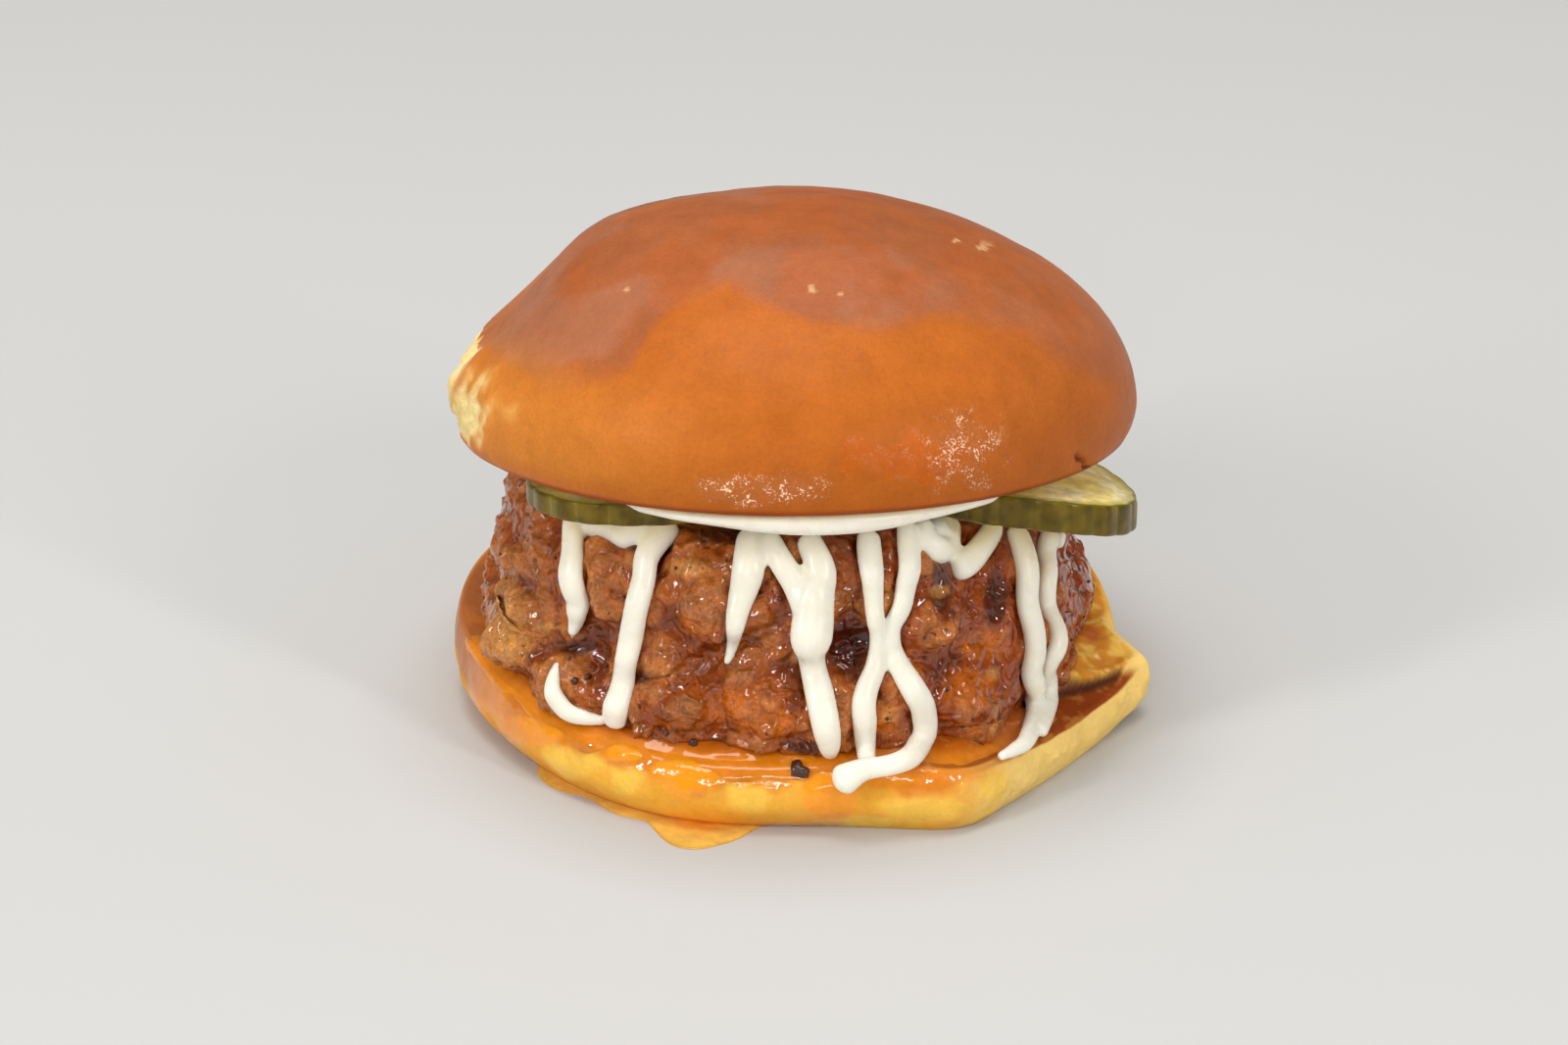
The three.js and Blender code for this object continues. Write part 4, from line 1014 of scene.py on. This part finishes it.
# Fried chicken
def make_chicken():
    """The chicken: crags of crust with glaze filling the hollows between them."""
    ts = np.concatenate([[0.03, 0.075, 0.105, 0.125], np.linspace(0.135, 0.875, 160), [0.9, 0.93, 0.97]])
    angle, t = np.meshgrid(turn(circle(760)), ts, indexing="xy")
    body = chicken_body(angle, t)
    facing = chicken_facing(angle, t)
    x, y, z = np.moveaxis(body, -1, 0)
    shown = showing(t)
    warp = [3.4 * rough(x, y, z, 4.5, 171 + n) for n in range(3)]
    wx, wy, wz = x + warp[0], y + warp[1], z + warp[2]
    craggy = ramp(fractal(x, y, z, 13, 131, 2) + 0.10 * ramp(-angle, -20, 30), 0.44, 0.62)
    flakes = 1 - np.abs(2 * fractal(wx, wy, wz, 3.6, 133, 2) - 1)
    small = 0.55 * nodules(wx, wy, wz, 3.2, 135) + 0.30 * nodules(wx, wy, wz, 1.5, 139)
    tiny = 0.75 * rough(x, y, z, 1.5, 143)
    bent = body + 0.75 * np.stack(warp, -1)
    form = crust(angle, bent) * shown
    rugged = 2.0 * rough(wx, wy, wz, 5.5, 145)
    detail = shown * ((0.25 + 0.75 * craggy) * (small + tiny) + 0.7 * flakes**4 + rugged - 0.30)
    frill = np.exp(-((turn(angle + 62) / 8) ** 2) - ((z - 22) / 5.5) ** 2)
    detail = detail + frill * 0.9 * np.sin(z * 1.5 + 3 * noise(x, y, z, 4, 149)) * shown
    h = form + detail
    runny = 1.1 * rough(x, y, z, 8, 147, 2) - 0.06 + 0.35 * band(angle, 0, 30, 100, 130)
    glaze = blur(h, 6.5, 5.5) + shown * runny
    surface = np.where(shown > 0.01, soft_max(h, glaze, 0.18), form)
    clear = clear_of_strands((body + facing * form[..., None]).reshape(-1, 3)).reshape(angle.shape)
    bare = crust(angle, body) * shown
    surface = mix(np.minimum(surface, bare), surface, ramp(clear, 0.1, 1.7))
    film = ramp(glaze - h, -0.10, 0.35)
    wide_blur = blur(surface, 12, 10)
    peak = ramp(surface - wide_blur, 0.1, 0.9)
    # Hollows of the crust, which are painted darker as painted shade
    cavity = ramp(wide_blur - surface, 0.15, 1.3)
    grid = body + facing * surface[..., None]
    floor = heel_top(grid[..., 0], grid[..., 1]) + 2 * GAP
    roof = chicken_top(grid[..., 0], grid[..., 1]) + 0.4
    low_edge = 1 - ramp(t, SIDE[0] + 0.02, SIDE[0] + 0.06)
    grid[..., 2] = np.minimum(np.maximum(grid[..., 2], floor - low_edge * 0.35), roof)
    at = pixel(grid)
    front = ramp(-y, 2, 14)
    ragged = 1.1 * rough(x, y, z, 4, 151)
    dark = spots(at, CHICKEN_DARK, ragged, 0.6) * front
    amber = spots(at, CHICKEN_AMBER, ragged, 0.6) * front
    golden = spots(at, CHICKEN_GOLD, ragged, 0.6) * front
    height = (body[..., 2] - 12) / 34
    # painted shade: the chicken's top darker just under the crown
    under_crown = ramp(height, 0.84, 1.0)
    matte = (1 - film) * craggy
    deeper = ramp(fractal(wx, wy, wz, 10, 153), 0.44, 0.60)
    tint = paint(
        (0.365, 0.086, 0.010) + 0 * grid,
        (matte * 0.7, (0.40, 0.125, 0.028)),
        (deeper * 0.6, (0.22, 0.037, 0.001)),
        (film * 0.85, (0.26, 0.044, 0.001)),
        (ramp(angle, 10, 45) * 0.40, (0.32, 0.036, 0.001)),
        (amber * 0.85, (0.52, 0.115, 0.002)),
        (peak * (1 - film) * 0.5, (0.48, 0.170, 0.040)),
        # painted shade in the hollows
        (cavity * 0.85, (0.11, 0.013, 0.001)),
        (dark * 0.88, (0.060, 0.006, 0.001)),
        (golden * (1 - 0.6 * cavity) * 0.65, (0.58, 0.25, 0.055)),
        (under_crown * 0.6, (0.08, 0.014, 0.003)),
        (0.75 * frill * (1 - cavity) * shown, (0.62, 0.29, 0.08)),
    )
    wet = np.clip(0.50 + 0.60 * film + 0.25 * (1 - craggy) + 0.3 * deeper - 0.4 * frill, 0, 1)
    piece = shell_object("chicken", grid, {"tint": tint, "wet": wet})
    finish_piece(piece, chicken_material(), "fried_chicken")
    return piece


# Mayonnaise strands
def clear_of_strands(points):
    """How far each point is outside the nearest strand's edge, in millimetres."""
    lines = strand_lines(1.0)
    centres = np.concatenate([line[0] for line in lines])
    halves = np.concatenate([line[2] for line in lines]) / 2
    tree = KDTree(len(centres))
    for n, centre in enumerate(centres):
        tree.insert(centre, n)
    tree.balance()
    out = np.empty(len(points))
    for n, point in enumerate(points):
        _, nearest, distance = tree.find(point)
        out[n] = distance - halves[nearest]
    return out


def in_view(face, place):
    """Where places show, as across and up in millimetres, when looked at from an angle of the burger."""
    x, y, z = np.moveaxis(place, -1, 0)
    across = x * cosd(face) + y * sind(face)
    away = y * cosd(face) - x * sind(face)
    return across, away * sind(VIEW["tilt"]) + (z - VIEW["middle_z"]) * cosd(VIEW["tilt"])


def search(low, high, is_below):
    """Where between low and high is_below turns from true to false, by halving."""
    for _ in range(16):
        middle = (low + high) / 2
        below = is_below(middle)
        low, high = np.where(below, middle, low), np.where(below, high, middle)
    return (low + high) / 2


def heel_outside(angle, s, lift):
    """Places over the heel: s runs to 1 over its face, then to 2 down its side."""
    wide = heel_radius(angle) + lift - 1
    x, y = near(angle, mix(40.0, wide, np.minimum(s, 1)))
    high = heel_top(x, y) + lift
    return point(x, y, mix(high, 2.0, np.maximum(0, s - 1)))


def place_strands(face, across, up, thick):
    """Centres for points of a strand's view, on the chicken or, lower down, on the heel."""
    def on_chicken(angle, t):
        return chicken_body(angle, t) + chicken_facing(angle, t)

    angle, lift = face.copy(), thick / 2 + 2 * GAP
    side = np.full(face.shape, SIDE[0])
    for _ in range(16):
        on_heel = in_view(face, on_chicken(angle, side))[1] > up
        t = search(side, 0 * face + 0.9, lambda at: in_view(face, on_chicken(angle, at))[1] < up)
        s = search(0 * face, 0 * face + 2, lambda at: in_view(face, heel_outside(angle, at, lift))[1] > up)
        low = heel_outside(angle, s, lift)
        reach = np.where(on_heel[:, None], low, on_chicken(angle, t))
        share = np.clip(across / np.hypot(reach[:, 0], reach[:, 1]), -0.98, 0.98)
        angle = (angle + face + np.degrees(np.arcsin(share))) / 2
    out = np.stack([*near(angle, 1.0), np.where(on_heel, 1.0, 0.0)], -1)
    out /= np.linalg.norm(out, axis=-1, keepdims=True)
    body = chicken_body(angle, t)
    return np.where(on_heel[:, None], low, body), out, np.where(on_heel, 0, crust(angle, body)), on_heel


def strand_lines(step):
    """Every strand's centres, facings, widths and thicknesses, riding over the crust."""
    lines = []
    for points in FRONT_STRANDS:
        lines.append((0.0, np.array(points, float)))
    for face, down, drip in OTHER_STRANDS:
        lines.append((float(face), np.array(drip, float) - np.array([0, down, 0])))
    stops, owner = [], []
    for n, (face, points) in enumerate(lines):
        length = np.hypot(*np.diff(points[:, :2], axis=0).T).sum()
        count = max(8, round(length / step))
        for row in through(points, np.linspace(0, 1, count + 1)):
            stops.append([face, *row])
            owner.append(n)
    face, across, up, width = np.array(stops).T
    owner = np.array(owner)
    thick = width * DRIZZLE["flatness"]
    place, out, rise, on_heel = place_strands(face, across, up, thick)
    made = []
    for n in range(len(lines)):
        mine = owner == n
        crusts, w, th, heel = rise[mine], width[mine], thick[mine], on_heel[mine]
        reach = int(round(2.2 / step))
        weights = np.hanning(2 * reach + 3)[1:-1]
        mean = np.convolve(np.pad(crusts, reach, mode="edge"), weights / weights.sum(), "valid")
        lift = np.where(heel, 0, np.maximum(mean, crusts * 0.8) + 0.25 + th * (0.5 - DRIZZLE["sunk"]))
        centre = place[mine] + out[mine] * lift[:, None]
        x, y = centre[:, 0], centre[:, 1]
        lowest = heel_top(x, y) + th / 2 + 2 * GAP
        highest = chicken_top(x, y) - th / 2 + 0.1
        centre[:, 2] = np.where(heel, centre[:, 2], np.minimum(np.maximum(centre[:, 2], lowest), highest))
        smooth = np.pad(centre, ((2, 2), (0, 0)), mode="edge")
        centre = (smooth[:-4] + 2 * smooth[1:-3] + 3 * smooth[2:-2] + 2 * smooth[3:-1] + smooth[4:]) / 9
        made.append((centre, out[mine], w, th))
    return made


def make_strands(mayonnaise):
    """Flattened tubes with round ends, joined where they touch."""
    turned = np.radians(circle(18))
    parts = []
    for n, (centre, out, width, thick) in enumerate(strand_lines(STRAND_STEP)):
        along = np.gradient(centre, axis=0)
        along /= np.linalg.norm(along, axis=1, keepdims=True) + 1e-9
        sideways = np.cross(along, out)
        sideways /= np.linalg.norm(sideways, axis=1, keepdims=True) + 1e-9
        outwards = np.cross(sideways, along)
        uneven = 1 + 0.08 * (noise(np.arange(len(width)) * STRAND_STEP, n * 9.0, 0.0, 3.5, 151) - 0.5)
        across = (width * uneven + STRAND_SWELL) / 2
        deep = (thick * uneven + STRAND_SWELL) / 2
        ring = (
            centre[:, None]
            + sideways[:, None] * (np.cos(turned)[None] * across[:, None])[..., None]
            + outwards[:, None] * (np.sin(turned)[None] * deep[:, None])[..., None]
        )
        caps = []
        for end, inwards in ((0, 1), (-1, -1)):
            for share in (0.35, 0.75, 0.95):
                shrink = math.sqrt(1 - share**2)
                moved = (ring[end] - centre[end]) * shrink + centre[end]
                caps.append(moved - inwards * along[end] * share * width[end] * 0.45)
        parts.append(shell_mesh(np.concatenate([np.array(caps[:3])[::-1], ring, np.array(caps[3:])])))
    piece = mesh_object("mayonnaise_strands", *merged(parts))
    remesh = piece.modifiers.new("join", "REMESH")
    remesh.mode = "VOXEL"
    remesh.voxel_size = STRAND_VOXEL * MM
    remesh.use_smooth_shade = True
    smooth = piece.modifiers.new("soften", "SMOOTH")
    smooth.factor = 0.5
    smooth.iterations = 5
    finish_piece(piece, mayonnaise, "fried_chicken")


# Sauce
def make_puddle():
    """A flat pool of sauce at the heel's front left, with a thin line of it along the foot."""
    angles = np.linspace(-52, -3, 260)
    foot = heel_radius(angles) - heel_undercut(angles)
    pool = 6.6 * hump(angles, -14, 9.5) ** 0.7
    reach = 1.5 + pool + 1.4 * hump(angles, -43, 7) + 1.2 * hump(angles, -27, 9)
    reach = reach * (1 - ramp(np.abs(angles + 27.5), 21, 24.5)) + 0.9 * rough(angles, 0, 0, 4.0, 161)
    across = np.linspace(0, 1, 30)[:, None]
    high = 0.40 * np.sqrt(np.maximum(0, 1 - across**2)) + 1.1 * np.maximum(0, 1 - across * 3.0)
    x, y = near(angles[None], foot[None] - 1.5 + across * (reach[None] + 1.5))
    top = point(x, y, high * np.minimum(1, reach / 1.5)[None] + 0.03)
    outer = ramp(across, 0.15, 0.55) + 0.5 * rough(x, y, 0, 4, 163)
    edge = ramp(across, 0.90, 0.97) + 0 * x
    tint = paint((0.80, 0.20, 0.006) + 0 * top, (outer, (0.90, 0.47, 0.09)), (edge * 0.6, (0.80, 0.27, 0.02)))
    piece = sheet_object("sauce_puddle", top, top * [1, 1, 0], tint)
    finish_piece(piece, sauce_material())


def make_glaze():
    """Sauce pooled round the chicken's foot, running out thin over the heel's edge."""
    angles = np.linspace(-76, 58, 440)
    path = np.linspace(0, 1, 70)[:, None]
    reach = mix(0.60, 0.44, ramp(angles, 14, 26)) + 0.13 * rough(angles, 0, 0, 9, 181)
    reach = reach + 0.07 * hump(angles, -14, 12) + 0.07 * hump(angles, 7, 6)
    s = path * reach[None]
    angle = angles[None] + 0 * s
    wide, inset = heel_radius(angle), heel_inset(angle)
    over = np.clip(s / 0.5, 0, 1)
    up = 1 - np.clip((s - 0.5) / 0.5, 0, 1)
    r = np.where(s <= 0.5, mix(GLAZE["inner"], wide - inset, over), wide - inset * heel_rounding(up))
    x, y = near(angle, r)
    z = np.where(s <= 0.5, heel_top(x, y), up * heel_top(x, y))
    base = point(x, y, z)
    normal = direction(angle, np.where(s <= 0.5, 90 - 45 * over**3, 45 * up))
    ends = band(angles, angles[0], angles[0] + 9, angles[-1] - 9, angles[-1])
    pooled = 1.7 * (1 - ramp(over + 0.5 * rough(x, y, 0, 7, 187), 0.10, 1.10))
    thin = 0.55 * (1 - ramp(path, 0.5, 1))
    thick = ends[None] * (thin + pooled) * (0.75 + 0.5 * fractal(x, y, z, 5, 183))
    thick = thick - 0.30 * ramp(path, 0.88, 1)
    tint = paint(
        (0.74, 0.215, 0.005) + 0 * base,
        (ramp(thick, 0.5, 1.6) * 0.8, (0.48, 0.100, 0.003)),
        ((1 - over) * 0.8, (0.32, 0.055, 0.002)),
    )
    piece = sheet_object("sauce_rim", base + normal * thick[..., None], base - normal * GLAZE["sunk"], tint)
    finish_piece(piece, sauce_material())


# Crumbs
def surface_tree(piece):
    """A search tree of a piece's mesh, in metres of the frame."""
    polygons = [tuple(p.vertices) for p in piece.data.polygons]
    return BVHTree.FromPolygons([v.co.copy() for v in piece.data.vertices], polygons)


def camera_place():
    tilt, away = math.radians(VIEW["tilt"]), VIEW["distance"]
    return in_row_frame([0, -away * math.cos(tilt), VIEW["middle_z"] + away * math.sin(tilt)])


def make_crumbs(heel, chicken):
    """Dark crumbs where they show in front, and pepper scattered over the glaze all round."""
    trees = [surface_tree(heel), surface_tree(chicken)]
    tilt = math.radians(VIEW["tilt"])
    eye = Vector(camera_place())
    forward = Vector((0, math.cos(tilt), -math.sin(tilt)))
    upward = Vector((0, math.sin(tilt), math.cos(tilt)))
    share = VIEW["sensor"] / VIEW["lens"] / PICTURE[0]
    places = []
    for (across, down), size in CRUMBS:
        sideways = Vector(((across - PICTURE[0] / 2) * share, 0, 0))
        ray = forward + sideways - upward * (down - PICTURE[1] / 2) * share
        hits = [tree.ray_cast(eye, ray.normalized()) for tree in trees]
        hit = min((h for h in hits if h[0] is not None), key=lambda h: h[3])
        places.append((hit[0], hit[1], size))
    draw = np.random.default_rng(41)
    polygons = chicken.data.polygons
    for index in draw.choice(len(polygons), PEPPER["tries"], replace=False):
        face = polygons[int(index)]
        fits = abs(face.normal.z) < PEPPER["steepest"] and face.center.z < PEPPER["below"]
        if fits and draw.random() < PEPPER["kept"]:
            places.append((face.center.copy(), face.normal.copy(), float(0.28 + 0.5 * draw.random() ** 2)))
    parts = []
    for n, (middle, normal, size) in enumerate(places):
        large = size > 0.9
        blob = bmesh.new()
        bmesh.ops.create_icosphere(blob, subdivisions=3 if large else 1, radius=0.5)
        corners = np.array([v.co[:] for v in blob.verts])
        sides = np.array([[v.index for v in f.verts] for f in blob.faces])
        blob.free()
        if large:
            corners = corners * (1 + 1.5 * rough(*(corners.T + 7.3 * n), 0.42, 191))[:, None]
        corners = corners * size * (0.8 + 0.4 * draw.random(3)) * [1, 1, 0.7]
        turned = corners @ np.array(normal.to_track_quat("Z", "Y").to_matrix()).T
        at = np.array(middle) / MM + np.array([*ORIGIN, 0]) + np.array(normal) * size * 0.12
        parts.append((turned + at, [sides]))
    piece = mesh_object("crumbs", *merged(parts))
    finish_piece(piece, crumb_material())


# Floor, light and camera
def make_stage():
    half = 4.0  # of the floor's width, in metres
    corners = [(-half, -half, 0), (half, -half, 0), (half, half, 0), (-half, half, 0)]
    mesh = bpy.data.meshes.new("floor")
    mesh.from_pydata(corners, [], [(0, 1, 2, 3)])
    mesh.materials.append(floor_material())
    floor = bpy.data.objects.new("floor", mesh)
    bpy.context.scene.collection.objects.link(floor)


def area_light(name, place, target, size, power):
    light = bpy.data.lights.new(name, "AREA")
    light.shape = "RECTANGLE"
    light.size, light.size_y = size
    light.energy = power
    made = bpy.data.objects.new(name, light)
    made.location = place
    made.rotation_euler = (Vector(target) - Vector(place)).to_track_quat("-Z", "Y").to_euler()
    bpy.context.scene.collection.objects.link(made)


def make_light():
    """A pale surrounding, brighter above and dim in reflections, with the area lights."""
    world = bpy.data.worlds.new("studio")
    bpy.context.scene.world = world
    world.use_nodes = True
    w = Nodes(world.node_tree)
    around = w.add("ShaderNodeTexCoord").outputs["Generated"]
    high = w.add("ShaderNodeSeparateXYZ", {0: around}).outputs["Z"]
    mirrored = w.add("ShaderNodeLightPath").outputs["Is Glossy Ray"]
    background = w.nodes["Background"]
    w.set(background, 0, (0.97, 0.985, 1.0, 1))
    w.set(background, 1, w.times(w.remap(high, 0.10, 0.85, 0.26, 0.66), w.remap(mirrored, 0, 1, 1.0, 0.28)))
    for light in LIGHTS:
        area_light(*light)


def make_camera():
    data = bpy.data.cameras.new("camera")
    data.lens, data.sensor_width = VIEW["lens"], VIEW["sensor"]
    data.clip_start = 0.01
    camera = bpy.data.objects.new("camera", data)
    camera.location = camera_place()
    camera.rotation_euler = (math.pi / 2 - math.radians(VIEW["tilt"]), 0, 0)
    bpy.context.scene.collection.objects.link(camera)
    bpy.context.scene.camera = camera


make_camera()
make_stage()
make_light()
mayonnaise = mayonnaise_material()
pickle_skin = pickle_material()
make_crown()
make_spread(mayonnaise)
for slice_of_pickle in PICKLES:
    make_pickle(slice_of_pickle, pickle_skin)
heel = make_heel()
chicken = make_chicken()
make_glaze()
make_crumbs(heel, chicken)
make_strands(mayonnaise)
make_puddle()

bpy.context.scene.view_settings.view_transform = "Standard"
